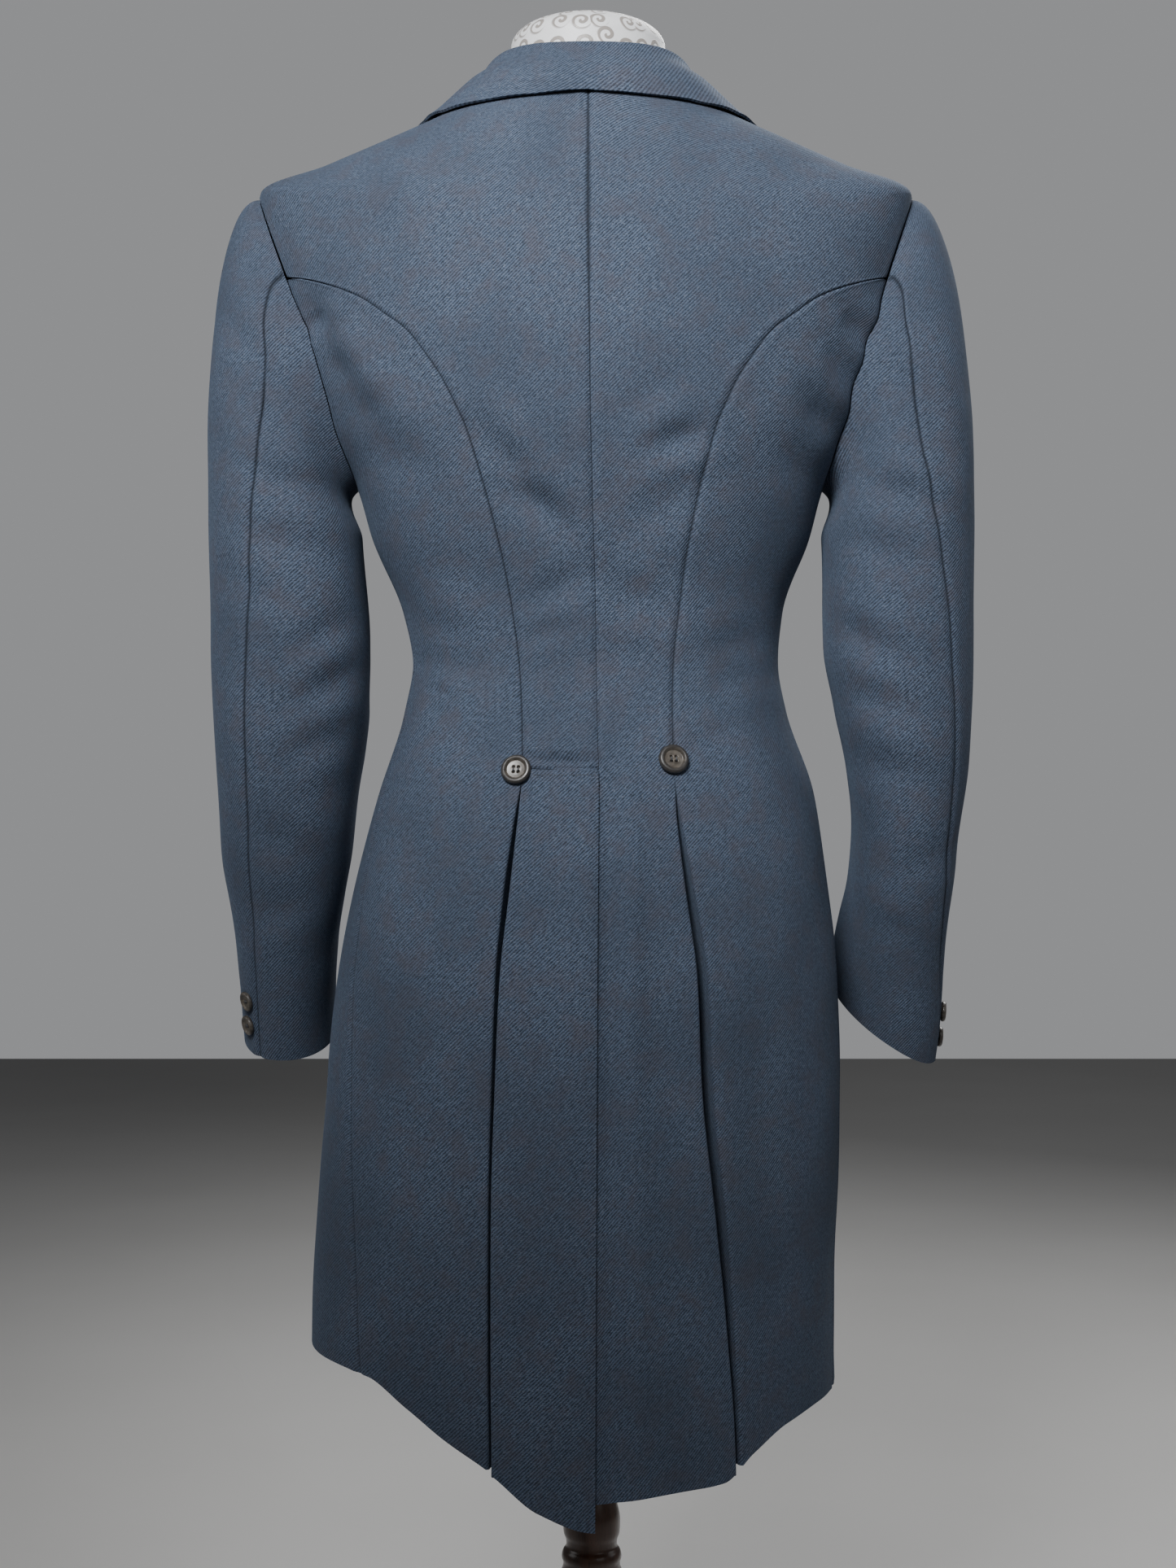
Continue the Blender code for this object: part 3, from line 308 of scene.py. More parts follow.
# Creases as soft troughs between two places, with their half width and depth. A ridge lies beside each.
CREASE_COLUMNS = "x0 z0 x1 z1 width depth"
BACK_CREASES = [
    (0.0790, 1.190, 0.0220, 1.120, 0.0120, 0.0056),
    (0.0640, 1.146, 0.0300, 1.132, 0.0090, 0.0032),
    (0.0620, 1.215, 0.0300, 1.160, 0.0160, 0.0017),
    (-0.0590, 1.222, -0.0180, 1.196, 0.0110, 0.0020),
    (-0.0760, 1.186, -0.0420, 1.176, 0.0100, 0.0044),
    (-0.0700, 1.150, -0.0240, 1.120, 0.0130, 0.0020),
    (0.1960, 1.276, 0.1880, 1.258, 0.0110, 0.0060),
    (0.1860, 1.246, 0.1680, 1.224, 0.0100, 0.0054),
    (0.1760, 1.218, 0.1480, 1.196, 0.0120, 0.0040),
    (0.1620, 1.190, 0.1300, 1.164, 0.0140, 0.0026),
    (-0.1740, 1.274, -0.1920, 1.250, 0.0100, 0.0054),
    (-0.1620, 1.250, -0.1820, 1.222, 0.0110, 0.0046),
    (-0.1500, 1.212, -0.1700, 1.188, 0.0110, 0.0048),
    (-0.1280, 1.180, -0.1540, 1.152, 0.0140, 0.0023),
    (0.0060, 1.090, 0.0440, 1.072, 0.0100, 0.0029),
    (0.0200, 1.055, 0.0480, 1.048, 0.0080, 0.0023),
    (-0.0080, 1.086, -0.0460, 1.066, 0.0110, 0.0019),
    (-0.0120, 1.040, -0.0420, 1.034, 0.0090, 0.0014),
    (0.1130, 1.014, 0.0980, 1.008, 0.0050, 0.0026),
    (0.1160, 1.004, 0.1020, 0.998, 0.0045, 0.0020),
    (0.1220, 1.060, 0.0820, 1.044, 0.0130, 0.0026),
    (0.1240, 1.034, 0.0760, 1.026, 0.0100, 0.0022),
    (-0.1200, 1.052, -0.0800, 1.040, 0.0120, 0.0023),
    (-0.1180, 1.026, -0.0840, 1.018, 0.0100, 0.0019),
    (0.0660, 0.968, 0.0980, 0.978, 0.0080, 0.0016),
    (-0.0660, 0.974, -0.0960, 0.984, 0.0080, 0.0016),
    (-0.0110, 0.948, -0.0125, 0.700, 0.0085, 0.0048),
    (-0.0135, 0.700, -0.0130, 0.470, 0.0095, 0.0038),
    (0.0410, 0.9650, -0.0010, 0.9625, 0.0045, 0.0034),
    (0.0300, 0.900, 0.0340, 0.640, 0.0140, 0.0014),
    (-0.0420, 0.880, -0.0560, 0.600, 0.0150, 0.0017),
    (0.1100, 0.900, 0.1320, 0.640, 0.0200, 0.0038),
    (0.1460, 0.840, 0.1620, 0.600, 0.0160, 0.0026),
    (-0.1080, 0.880, -0.1240, 0.600, 0.0180, 0.0029),
    (-0.1420, 0.820, -0.1480, 0.620, 0.0150, 0.0023),
    (0.0900, 0.780, 0.0960, 0.540, 0.0120, 0.0014),
]
FRONT_CREASES = [
    (0.1900, 1.262, 0.1600, 1.238, 0.0110, 0.0035),
    (0.1780, 1.224, 0.1400, 1.196, 0.0120, 0.0030),
    (-0.1880, 1.258, -0.1640, 1.228, 0.0110, 0.0032),
    (-0.1720, 1.214, -0.1420, 1.190, 0.0130, 0.0027),
    (0.1180, 1.060, 0.0600, 1.048, 0.0120, 0.0027),
    (0.1120, 1.032, 0.0480, 1.024, 0.0100, 0.0020),
    (-0.1160, 1.056, -0.0620, 1.044, 0.0120, 0.0024),
    (-0.1080, 1.026, -0.0560, 1.020, 0.0110, 0.0019),
    (0.0460, 1.066, 0.0200, 1.058, 0.0070, 0.0016),
    (0.0420, 1.000, 0.0190, 1.008, 0.0070, 0.0014),
    (-0.0520, 0.972, -0.0240, 0.964, 0.0080, 0.0014),
    (0.0800, 0.900, 0.0980, 0.620, 0.0180, 0.0032),
    (0.1440, 0.860, 0.1660, 0.600, 0.0160, 0.0027),
    (-0.0740, 0.880, -0.0880, 0.600, 0.0190, 0.0030),
    (-0.1300, 0.840, -0.1420, 0.600, 0.0150, 0.0024),
    (0.0340, 0.800, 0.0360, 0.600, 0.0130, 0.0016),
]
SLEEVE_BACK_CREASES = [
    (0.2600, 1.276, 0.2080, 1.212, 0.0110, 0.0039),
    (0.2560, 1.236, 0.2180, 1.196, 0.0120, 0.0024),
    (0.2300, 1.164, 0.1880, 1.150, 0.0100, 0.0039),
    (0.2340, 1.122, 0.1900, 1.106, 0.0110, 0.0030),
    (0.2520, 1.092, 0.2160, 1.070, 0.0120, 0.0021),
    (0.1720, 1.062, 0.2060, 1.040, 0.0100, 0.0033),
    (0.1680, 1.026, 0.2040, 1.004, 0.0100, 0.0030),
    (0.1720, 0.984, 0.2100, 0.968, 0.0110, 0.0024),
    (0.2400, 0.920, 0.2080, 0.900, 0.0130, 0.0018),
    (0.2080, 0.866, 0.2360, 0.850, 0.0110, 0.0015),
    (-0.1980, 1.250, -0.2380, 1.206, 0.0110, 0.0042),
    (-0.2100, 1.212, -0.2440, 1.176, 0.0120, 0.0027),
    (-0.1960, 1.156, -0.2340, 1.142, 0.0100, 0.0039),
    (-0.1820, 1.118, -0.2200, 1.100, 0.0110, 0.0027),
    (-0.1700, 1.060, -0.2080, 1.036, 0.0110, 0.0033),
    (-0.1780, 1.014, -0.2180, 0.996, 0.0110, 0.0027),
    (-0.1900, 0.966, -0.2260, 0.950, 0.0110, 0.0021),
    (-0.2480, 0.900, -0.2160, 0.884, 0.0120, 0.0018),
    (-0.2000, 0.852, -0.2280, 0.836, 0.0110, 0.0015),
]
SLEEVE_FRONT_CREASES = [
    (0.2560, 1.250, 0.2120, 1.206, 0.0120, 0.0028),
    (0.2300, 1.140, 0.1900, 1.124, 0.0110, 0.0031),
    (0.1760, 1.046, 0.2240, 1.024, 0.0100, 0.0045),
    (0.1740, 1.012, 0.2280, 0.996, 0.0090, 0.0050),
    (0.1760, 0.978, 0.2220, 0.964, 0.0090, 0.0039),
    (0.2380, 0.900, 0.2040, 0.882, 0.0120, 0.0020),
    (-0.2000, 1.246, -0.2440, 1.204, 0.0120, 0.0031),
    (-0.1860, 1.136, -0.2300, 1.120, 0.0110, 0.0028),
    (-0.1780, 1.050, -0.2280, 1.028, 0.0100, 0.0042),
    (-0.1820, 1.016, -0.2360, 0.998, 0.0090, 0.0048),
    (-0.1880, 0.982, -0.2360, 0.966, 0.0090, 0.0036),
    (-0.2040, 0.892, -0.2360, 0.874, 0.0120, 0.0020),
]


def column(table, names, name, at):
    """A column read at any place, on a smooth curve through its rows: cubic pieces whose slopes are the
    harmonic means of the straight slopes beside each row, so that nothing overshoots."""
    number = names.split().index(name)
    x = np.array([row[0] for row in table])
    y = np.array([row[number] for row in table])
    at = np.clip(np.asarray(at, float), x[0], x[-1])
    slope = np.diff(y) / np.diff(x)
    total = slope[:-1] + slope[1:]
    inner = np.where(slope[:-1] * slope[1:] > 0, 2 * slope[:-1] * slope[1:] / np.where(total == 0, 1, total), 0)
    tangent = np.concatenate([[slope[0]], inner, [slope[-1]]])
    i = np.clip(np.searchsorted(x, at, side="right") - 1, 0, len(x) - 2)
    step = x[i + 1] - x[i]
    t = (at - x[i]) / step
    return (
        (2 * t**3 - 3 * t**2 + 1) * y[i]
        + (t**3 - 2 * t**2 + t) * step * tangent[i]
        + (3 * t**2 - 2 * t**3) * y[i + 1]
        + (t**3 - t**2) * step * tangent[i + 1]
    )


def ring_point(turn, level, table=BODY):
    """A point of a ring: an ellipse squared off by the ring's power, whose height blends from its side
    height to its back or front height with the square of how far back or forward the point lies."""
    turn, level = np.broadcast_arrays(np.asarray(turn, float), np.asarray(level, float))
    value = {name: column(table, BODY_COLUMNS, name, level) for name in BODY_COLUMNS.split()[1:]}
    angle = np.radians(turn)
    sine, cosine = np.sin(angle), np.cos(angle)
    power = value["square"]
    reach = (np.abs(sine) ** power + np.abs(cosine) ** power) ** (-1 / power)
    across, along = reach * sine, reach * cosine
    half = np.where(across > 0, value["left"], value["right"])
    depth = np.where(along > 0, value["back_y"] - value["side_y"], value["side_y"] - value["front_y"])
    height = np.where(along > 0, level, value["front_z"])
    x = value["mid"] + half * across
    y = value["side_y"] + depth * along
    z = value["side_z"] + (height - value["side_z"]) * along**2
    return np.stack([x, y, z], axis=-1)


def ring_normal(turn, level, table=BODY):
    """The outward direction: the cross product of small steps up and round the ringed surface."""
    round_it = ring_point(turn + 0.5, level, table) - ring_point(turn - 0.5, level, table)
    up_it = ring_point(turn, level + 0.002, table) - ring_point(turn, level - 0.002, table)
    normal = np.cross(up_it, round_it)
    return normal / np.linalg.norm(normal, axis=-1, keepdims=True)


def crease_depth(points, table):
    """How far creases push each point: for each row a trough that fades with the square of the distance
    to its line, deepest at its middle, with a lower ridge on one side."""
    rows = np.array(table)
    start, end = rows[:, 0:2], rows[:, 2:4]
    way = end - start
    size = np.linalg.norm(way, axis=1)
    flat = points[..., [0, 2]][..., None, :] - start
    along = np.clip((flat * way).sum(-1) / size**2, 0, 1)
    away = np.linalg.norm(flat - along[..., None] * way, axis=-1)
    side = (flat[..., 0] * way[:, 1] - flat[..., 1] * way[:, 0]) / size
    width, depth = rows[:, 4], rows[:, 5] * (0.45 + 0.55 * np.sin(np.pi * along))
    beyond = np.linalg.norm(flat - along[..., None] * way, axis=-1) - np.abs(side)
    trough = np.exp(-((away / width) ** 2))
    ridge = np.exp(-(((side - 1.7 * width) / width) ** 2) - (np.maximum(beyond, 0) / width) ** 2)
    return (depth * (0.5 * ridge - trough)).sum(-1)


def unevenness(points):
    """Very soft waves of cloth: three crossed sines of uneven length."""
    x, y, z = points[..., 0], points[..., 1], points[..., 2]
    return (
        0.00028 * np.sin(61 * x + 23 * z + 1.3)
        + 0.00024 * np.sin(37 * z - 49 * x + 31 * y + 0.4)
        + 0.00018 * np.sin(83 * y + 71 * z + 2.2)
    )


def relief(points, normal, back_table, front_table, strength):
    """Creases on the side that a point faces, plus the soft unevenness of hung cloth."""
    behind = np.clip(normal[..., 1] * 1.6, 0, 1)
    before = np.clip(-normal[..., 1] * 1.6, 0, 1)
    push = behind * crease_depth(points, back_table) + before * crease_depth(points, front_table)
    return strength * (push + unevenness(points))


def body_point(turn, level, out=0.0):
    """A point of the coat's outer surface with its creases, moved out by a distance."""
    turn, level = np.broadcast_arrays(np.asarray(turn, float), np.asarray(level, float))
    flat, normal = ring_point(turn, level), ring_normal(turn, level)
    settings = bpy.context.scene.frock_coat
    collar_part = np.clip((1.405 - level) / 0.03, 0, 1)
    push = collar_part * relief(flat, normal, BACK_CREASES, FRONT_CREASES, settings.creases)
    return flat + (np.asarray(out) + push)[..., None] * normal


def turn_at(x, level, front=False):
    """The turn at which the ring of a level passes a distance x from its middle."""
    side = np.where(x > 0, 1, -1)
    half = np.where(x > 0, column(BODY, BODY_COLUMNS, "left", level), column(BODY, BODY_COLUMNS, "right", level))
    power = column(BODY, BODY_COLUMNS, "square", level)
    across = np.clip(np.abs(x) / half, 0, 0.9999)
    along = (1 - across**power) ** (1 / power)
    turn = np.degrees(np.arctan2(across, along))
    return side * (180 - turn if front else turn)


def armhole_level(round_it):
    """The level of the armhole edge at an angle round it: 90 is the shoulder tip and -90 the armpit."""
    return (TIP + ARMPIT) / 2 + (TIP - ARMPIT) / 2 * np.sin(np.radians(round_it))


def armhole_turn(level, front=False):
    """The turn of the armhole's back or front edge at a level: half an ellipse on either side of 90."""
    sine = np.clip((level - (TIP + ARMPIT) / 2) / ((TIP - ARMPIT) / 2), -1, 1)
    cosine = np.sqrt(1 - sine**2)
    return 90 + ARMHOLE_FRONT * cosine if front else 90 - ARMHOLE_BACK * cosine


def degrees_of(distance):
    """A distance along a ring, in degrees, near enough for gaps and laps."""
    return math.degrees(distance / 0.13)


def between(start, end, count):
    """Rows of evenly spread values from start to end, one row for each pair."""
    share = np.linspace(0, 1, count)
    return np.asarray(start)[:, None] * (1 - share) + np.asarray(end)[:, None] * share


def lengths(grid):
    """The distance along each row from its first point, as running sums of the steps."""
    step = np.linalg.norm(np.diff(grid, axis=1), axis=2)
    return np.concatenate([np.zeros((len(grid), 1)), np.cumsum(step, axis=1)], axis=1)


def facing(grid):
    """The directions of a grid surface: the cross product of its steps up and across."""
    normal = np.cross(np.gradient(grid, axis=0), np.gradient(grid, axis=1))
    size = np.linalg.norm(normal, axis=-1, keepdims=True)
    return normal / np.where(size > 1e-12, size, 1)


def pressed(grid, side, first=True, last=True, depth=None):
    """Presses a panel's edges into the seam: a narrow dip at the edge and a low ridge beside it, where
    the turnings lie under the cloth, both fading with the square of the distance from the edge."""
    depth = bpy.context.scene.frock_coat.seam_depth if depth is None else depth
    along = lengths(grid)
    whole = along[:, -1:]
    push = np.zeros(along.shape)
    for wanted, away in ((first, along), (last, whole - along)):
        if wanted is not False:
            dip = np.exp(-((away / 0.0017) ** 2)) - 0.32 * np.exp(-(((away - 0.0062) / 0.0034) ** 2))
            push -= depth * dip * (1.0 if wanted is True else wanted)
    return grid + push[..., None] * facing(grid) * side


def weave_map(grid, turned=False, offset=0.0):
    """A flat place for each point: its running distance along the row, and its height along the column,
    which is the middle value of each row's steps. The third number is the strength of the painted seam shade, and
    starts at 0."""
    across = lengths(grid) + offset
    down = np.median(np.linalg.norm(np.diff(grid, axis=0), axis=2), axis=1)
    height = np.concatenate([[0], np.cumsum(down)])[:, None] + 0 * across
    across = across - across[:, -1:] if turned else across
    return np.stack([across, height, 0 * across], axis=-1)


def body_map(turns, levels, front=False):
    """The straight grain of the body: how far a point lies from the centre back round its ring, or from
    the centre front for a front, and how far up the surface from the hem, read between the places of a
    table of the plain rings."""
    every_turn, every_level = np.linspace(0, 210, 211), np.linspace(0.42, NAPE, 141)
    places = ring_point(every_turn[None], every_level[:, None])
    round_it = np.linalg.norm(np.diff(places, axis=1), axis=2)
    round_it = np.concatenate([np.zeros((141, 1)), np.cumsum(round_it, axis=1)], axis=1)
    if front:
        round_it = round_it - round_it[:, 180:181]
    upward = np.linalg.norm(np.diff(places, axis=0), axis=2)
    upward = np.concatenate([np.zeros((1, 211)), np.cumsum(upward, axis=0)])
    across = np.clip(np.abs(turns), 0, 209.99)
    up = np.clip((levels - 0.42) / (NAPE - 0.42) * 140, 0, 139.99)
    i, j = up.astype(int), across.astype(int)
    a, b = up - i, across - j
    values = [
        (1 - a) * ((1 - b) * t[i, j] + b * t[i, j + 1]) + a * ((1 - b) * t[i + 1, j] + b * t[i + 1, j + 1])
        for t in (round_it, upward)
    ]
    return np.stack([*values, 0 * across], axis=-1)


def sewn(chart, first=0.0, last=0.0, top=0.0):
    """Sets the strength of painted seam shade in a map's third number: along the first column, the last and the last
    row.
    """
    chart[:, 0, 2] = np.maximum(chart[:, 0, 2], first)
    chart[:, -1, 2] = np.maximum(chart[:, -1, 2], last)
    chart[-1, :, 2] = np.maximum(chart[-1, :, 2], top)
    return chart


def finish_mesh(name, points, faces, uvs, slots, materials, smooth=50.0):
    """A mesh object at the origin from arrays of points and quads, with its weave map and materials."""
    mesh = bpy.data.meshes.new(name)
    mesh.from_pydata(points.tolist(), [], faces.tolist())
    layer = mesh.uv_layers.new(name="weave")
    corner = np.zeros(len(mesh.loops), np.int32)
    mesh.loops.foreach_get("vertex_index", corner)
    layer.data.foreach_set("uv", uvs[corner][:, :2].astype(np.float32).ravel())
    if uvs.shape[1] > 2:
        # The third number becomes a point attribute that darkens the wool along its seams: painted shade.
        seam_shade_layer = mesh.attributes.new("sewn", "FLOAT", "POINT")
        seam_shade_layer.data.foreach_set("value", uvs[:, 2].astype(np.float32))
    for made in materials:
        mesh.materials.append(made)
    mesh.polygons.foreach_set("material_index", slots.astype(np.int32))
    mesh.shade_smooth()
    mesh.set_sharp_from_angle(angle=math.radians(smooth))
    thing = bpy.data.objects.new(name, mesh)
    bpy.context.scene.collection.objects.link(thing)
    return thing


def shell(name, patches, maps, materials):
    """A closed wall of cloth. Patches are grids of points that share edges. Each point's wall goes in
    against the sum of the facings of the quads round it, and the open edges are joined by a rim."""
    wall = bpy.context.scene.frock_coat.wall
    points = np.concatenate([p.reshape(-1, 3) for p in patches])
    uvs = np.concatenate([m.reshape(-1, 3) for m in maps])
    _, first, place = np.unique(np.round(points, 6), axis=0, return_index=True, return_inverse=True)
    place = place.ravel()
    outer, uvs = points[first], uvs[first]
    quads, begin = [], 0
    for patch in patches:
        rows, columns = patch.shape[:2]
        ids = place[begin : begin + rows * columns].reshape(rows, columns)
        begin += rows * columns
        quads.append(np.stack([ids[:-1, :-1], ids[1:, :-1], ids[1:, 1:], ids[:-1, 1:]], axis=-1).reshape(-1, 4))
    quads = np.concatenate(quads)
    ordered = np.sort(quads, axis=1)
    quads = quads[(np.diff(ordered, axis=1) > 0).all(axis=1)]
    normal = np.cross(outer[quads[:, 2]] - outer[quads[:, 0]], outer[quads[:, 3]] - outer[quads[:, 1]])
    outward = np.zeros_like(outer)
    for corner in range(4):
        np.add.at(outward, quads[:, corner], normal)
    outward /= np.maximum(np.linalg.norm(outward, axis=1, keepdims=True), 1e-12)
    count = len(outer)
    inner = outer - wall * outward
    ways = np.concatenate([quads[:, [k, (k + 1) % 4]] for k in range(4)]).astype(np.int64)
    code, back = ways[:, 0] * count + ways[:, 1], ways[:, 1] * count + ways[:, 0]
    rim = ways[~np.isin(code, back)]
    walls = np.stack([rim[:, 1], rim[:, 0], rim[:, 0] + count, rim[:, 1] + count], axis=1)
    faces = np.concatenate([quads, quads[:, ::-1] + count, walls])
    slots = np.concatenate([np.zeros(len(quads)), np.ones(len(quads)), np.zeros(len(walls))])
    return finish_mesh(name, np.concatenate([outer, inner]), faces, np.concatenate([uvs, uvs]), slots, materials)


def cloth_piece(node, patches, maps):
    """One stitched piece of cloth in place of its plain solid."""
    thing = shell(node + "_cloth", patches, maps, [wool(), lining()])
    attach(thing, "root")
    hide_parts(node)
    return thing


def pleat_edge(side, level, which):
    """Where a pleat's fold, or the side-back seam above it, lies: the pleat line plus half the dark gap
    and the fold's radius, taken towards the middle (-1) or the side (1), as a turn."""
    name = "left" if side > 0 else "right"
    fold = column(PLEAT, PLEAT_COLUMNS, name, level)
    gap = column(PLEAT, PLEAT_COLUMNS, name + "_gap", level)
    seam = column(SIDE_BACK, SEAM_COLUMNS, "out", level)
    share = np.clip((0.957 - level) / 0.03, 0, 1)
    out = np.where(level < 0.955, fold, seam) + which * share * (gap + FOLD_RADIUS)
    return turn_at(side * out, level) * side + which * degrees_of(SEAM)


def skirt_rows():
    """Shares of the way from hem to skirt top: even, and much closer just under the top."""
    return 1 - np.concatenate([np.linspace(1, 0.034, 116), np.linspace(0.034, 0, 24)[1:]])


def body_levels(top):
    """Levels of the panels above the skirt: even to the armpit, then in even steps round the armhole,
    with extra ones where the side-back seam runs nearly level."""
    low = np.arange(SKIRT_TOP, ARMPIT, 0.0034)
    hole = armhole_level(np.arange(-90.0, 90.1, 3.0))
    join = np.linspace(1.258, BACK_JOIN, 22)
    high = np.linspace(TIP, NAPE - 0.0002, 30)
    every = np.unique(np.round(np.concatenate([low, hole, join, high]), 6))
    return every[every <= top + 1e-9]


def turned_in(edge, levels, side, which):
    """A pleat's depth: a quarter round at the fold, then straight in, along the direction that faces
    out at the pleat line. It grows from nothing over the first part of the skirt."""
    name = "left" if side > 0 else "right"
    turn = turn_at(side * column(PLEAT, PLEAT_COLUMNS, name, levels), levels)
    normal = ring_normal(turn, levels)
    outward = ring_point(turn + 0.5, levels) - ring_point(turn - 0.5, levels)
    outward *= -side * which / np.linalg.norm(outward, axis=1, keepdims=True)
    share = np.clip((0.957 - levels) / 0.03, 0.004, 1)[:, None]
    angles = np.radians(np.concatenate([np.linspace(0, 90, 8), np.full(6, 90.0)]))
    extra = np.concatenate([np.zeros(8), np.linspace(0, 1, 7)[1:]])
    radius, deep = FOLD_RADIUS * share, PLEAT_DEPTH * share
    aside = (radius * np.sin(angles))[..., None] * outward[:, None]
    into = (radius * (1 - np.cos(angles)) + deep * extra)[..., None] * normal[:, None]
    return edge[:, None] + aside - into


def oriented(grid, side):
    """Rows run up; the columns are turned so that faces point out on either side."""
    return grid if side > 0 else grid[:, ::-1]


def back_panel(side):
    """Half of the back and its tail: turns from the centre-back seam to the side-back seam, armhole or
    pleat. The left tail is raised by a lap under a short step at the vent's top."""
    name = "left" if side > 0 else "right"
    columns = 66
    start = degrees_of(SEAM)
    upper = body_levels(NAPE)

    def end_at(level):
        seam = pleat_edge(side, level, -1)
        end = np.where(level < BACK_JOIN, np.minimum(seam, np.where(level > 1.26, armhole_turn(level), 180)),
                       armhole_turn(level))
        return np.where(level > TIP - 1e-6, 90.0, end) - degrees_of(SEAM) * (level >= BACK_JOIN)

    def lap(turns, levels):
        if side < 0:
            return np.zeros(turns.shape)
        x = ring_point(turns, levels)[..., 0]
        step = np.clip((VENT_TOP + 0.0004 - levels) / 0.0015, 0, 1)
        beside_button = np.clip((0.0435 - x) / 0.004, 0, 1)
        low = np.clip((0.945 - levels) / 0.02, 0, 1)
        groove = 0.0020 * np.exp(-(((levels - VENT_TOP - 0.0014) / 0.0011) ** 2)) * beside_button
        return LAP * step**2 * (3 - 2 * step) * np.maximum(beside_button, low) - groove

    upper_turns = between(np.full(len(upper), start), end_at(upper), columns)
    upper_levels = np.broadcast_to(upper[:, None], upper_turns.shape)
    share, rows = np.linspace(0, 1, columns), skirt_rows()[:, None]
    hem_end = pleat_edge(side, np.array([0.49]), -1)[0]
    hem_turns = start + (hem_end - start) * share
    hem = column(HEM, HEM_COLUMNS, name, hem_turns)
    levels = hem + (SKIRT_TOP - hem) * rows
    turns = start + (end_at(levels) - start) * share
    turns = np.concatenate([turns[:-1], upper_turns])
    levels = np.concatenate([levels[:-1], upper_levels])
    grid = body_point(side * turns, levels, lap(turns, levels))
    edge_levels = levels[:, -1]
    seamed = np.where(edge_levels < 0.957, 0.0, 1.0)[:, None]
    tail = np.where(levels[:, :1] < VENT_TOP, 0.0, 1.0)
    grid = pressed(grid, side, first=tail, last=seamed)
    skirt = edge_levels < 0.957
    fold = turned_in(grid[skirt, -1], edge_levels[skirt], side, -1)
    # The map's third number paints shade along the centre-back seam above the vent and along the side-back seam above
    # the pleat.
    map_body = sewn(body_map(turns, levels), tail[:, 0], seamed[:, 0]) * [side, 1, 1]
    if side > 0:
        # A narrow band of painted shadow just above the vent's top step.
        vent_shadow = np.exp(-(((levels - VENT_TOP - 0.0010) / 0.0009) ** 2)) * (ring_point(turns, levels)[..., 0] < 0.043)
        map_body[..., 2] = np.maximum(map_body[..., 2], vent_shadow)
    map_fold = weave_map(fold) * [side, 1, 1] + map_body[: len(fold), -1:] * [1, 0, 0]
    map_fold[..., 1] = map_body[: len(fold), -1:, 1]
    patches, maps = [grid, fold], [map_body, map_fold]
    if side < 0:
        low = levels[:, 0] < VENT_TOP + 0.002
        reach = np.linspace(0, 0.030, 9)
        under_levels = levels[low, :1] + 0 * reach
        under = turn_at(reach + 1e-5, under_levels)
        under[:, 0] = -start
        flap = body_point(under, under_levels, -0.0002 * (reach > 0) + 0 * under)
        flap[:, 0] = grid[low, 0]
        patches.append(flap[:, ::-1])
        map_flap = weave_map(flap)
        map_flap[..., 1] = map_body[low, :1, 1]
        maps.append(map_flap[:, ::-1])
    patches = [oriented(p, side) for p in patches]
    maps = [oriented(m, side) for m in maps]
    cloth_piece(f"back_{name}", patches, maps)


def side_panel(side):
    """A side body: turns from the side-back seam or pleat to the side seam, and above the armpit to the
    armhole's back edge."""
    name = "left" if side > 0 else "right"
    columns = 52
    upper = body_levels(BACK_JOIN - 0.0006)

    def end_at(level):
        seam = column(SIDE_SEAM, SIDE_COLUMNS, name, level)
        return np.where(level < ARMPIT + 1e-6, seam, armhole_turn(level)) - degrees_of(SEAM)

    ends = end_at(upper)
    starts = np.minimum(pleat_edge(side, upper, 1), ends - 0.1)
    share, rows = np.linspace(0, 1, columns), skirt_rows()[:, None]
    first = pleat_edge(side, np.array([0.50]), 1)[0]
    hem_turns = first + (column(SIDE_SEAM, SIDE_COLUMNS, name, 0.53) - first) * share
    hem = column(HEM, HEM_COLUMNS, name, hem_turns)
    levels = hem + (SKIRT_TOP - hem) * rows
    fold_turn = pleat_edge(side, levels[:, 0], 1)
    turns = fold_turn[:, None] * (1 - share) + end_at(levels) * share
    turns = np.concatenate([turns[:-1], between(starts, ends, columns)])
    levels = np.concatenate([levels[:-1], np.broadcast_to(upper[:, None], (len(upper), columns))])
    grid = body_point(side * turns, levels)
    edge_levels = levels[:, 0]
    armhole = np.where(levels[:, -1] < ARMPIT, 1.0, 0.45)[:, None]
    grid = pressed(grid, side, first=np.where(edge_levels < 0.957, 0.0, 1.0)[:, None], last=armhole)
    skirt = edge_levels < 0.957
    fold = turned_in(grid[skirt, 0], edge_levels[skirt], side, 1)[:, ::-1]
    seamed = np.where(edge_levels < 0.957, 0.0, 1.0)
    # How strong the painted seam shade is along the side seam and the armhole edge.
    faint = np.where(levels[:, -1] < ARMPIT, 0.72, 0.85)
    map_body = sewn(body_map(turns, levels), seamed, faint, 1.0) * [side, 1, 1]
    map_fold = weave_map(fold, turned=True) * [side, 1, 1] + map_body[: len(fold), :1] * [1, 0, 0]
    map_fold[..., 1] = map_body[: len(fold), :1, 1]
    patches = [oriented(p, side) for p in (grid, fold)]
    maps = [oriented(m, side) for m in (map_body, map_fold)]
    cloth_piece(f"side_{name}", patches, maps)


def roll_out(level):
    """How far the lapel's roll line lies from the middle at a level."""
    return 0.002 + 0.068 * np.clip((level - BREAK) / (NAPE - BREAK), 0, 1)


def front_lap(turns, levels, side):
    """The left front is raised near the centre front, where it laps over the right one."""
    if side < 0:
        return np.zeros(np.broadcast(turns, levels).shape)
    share = np.clip((turns - 152) / 16, 0, 1)
    return LAP * share**2 * (3 - 2 * share) * np.clip((1.145 - levels) / 0.03, 0, 1)


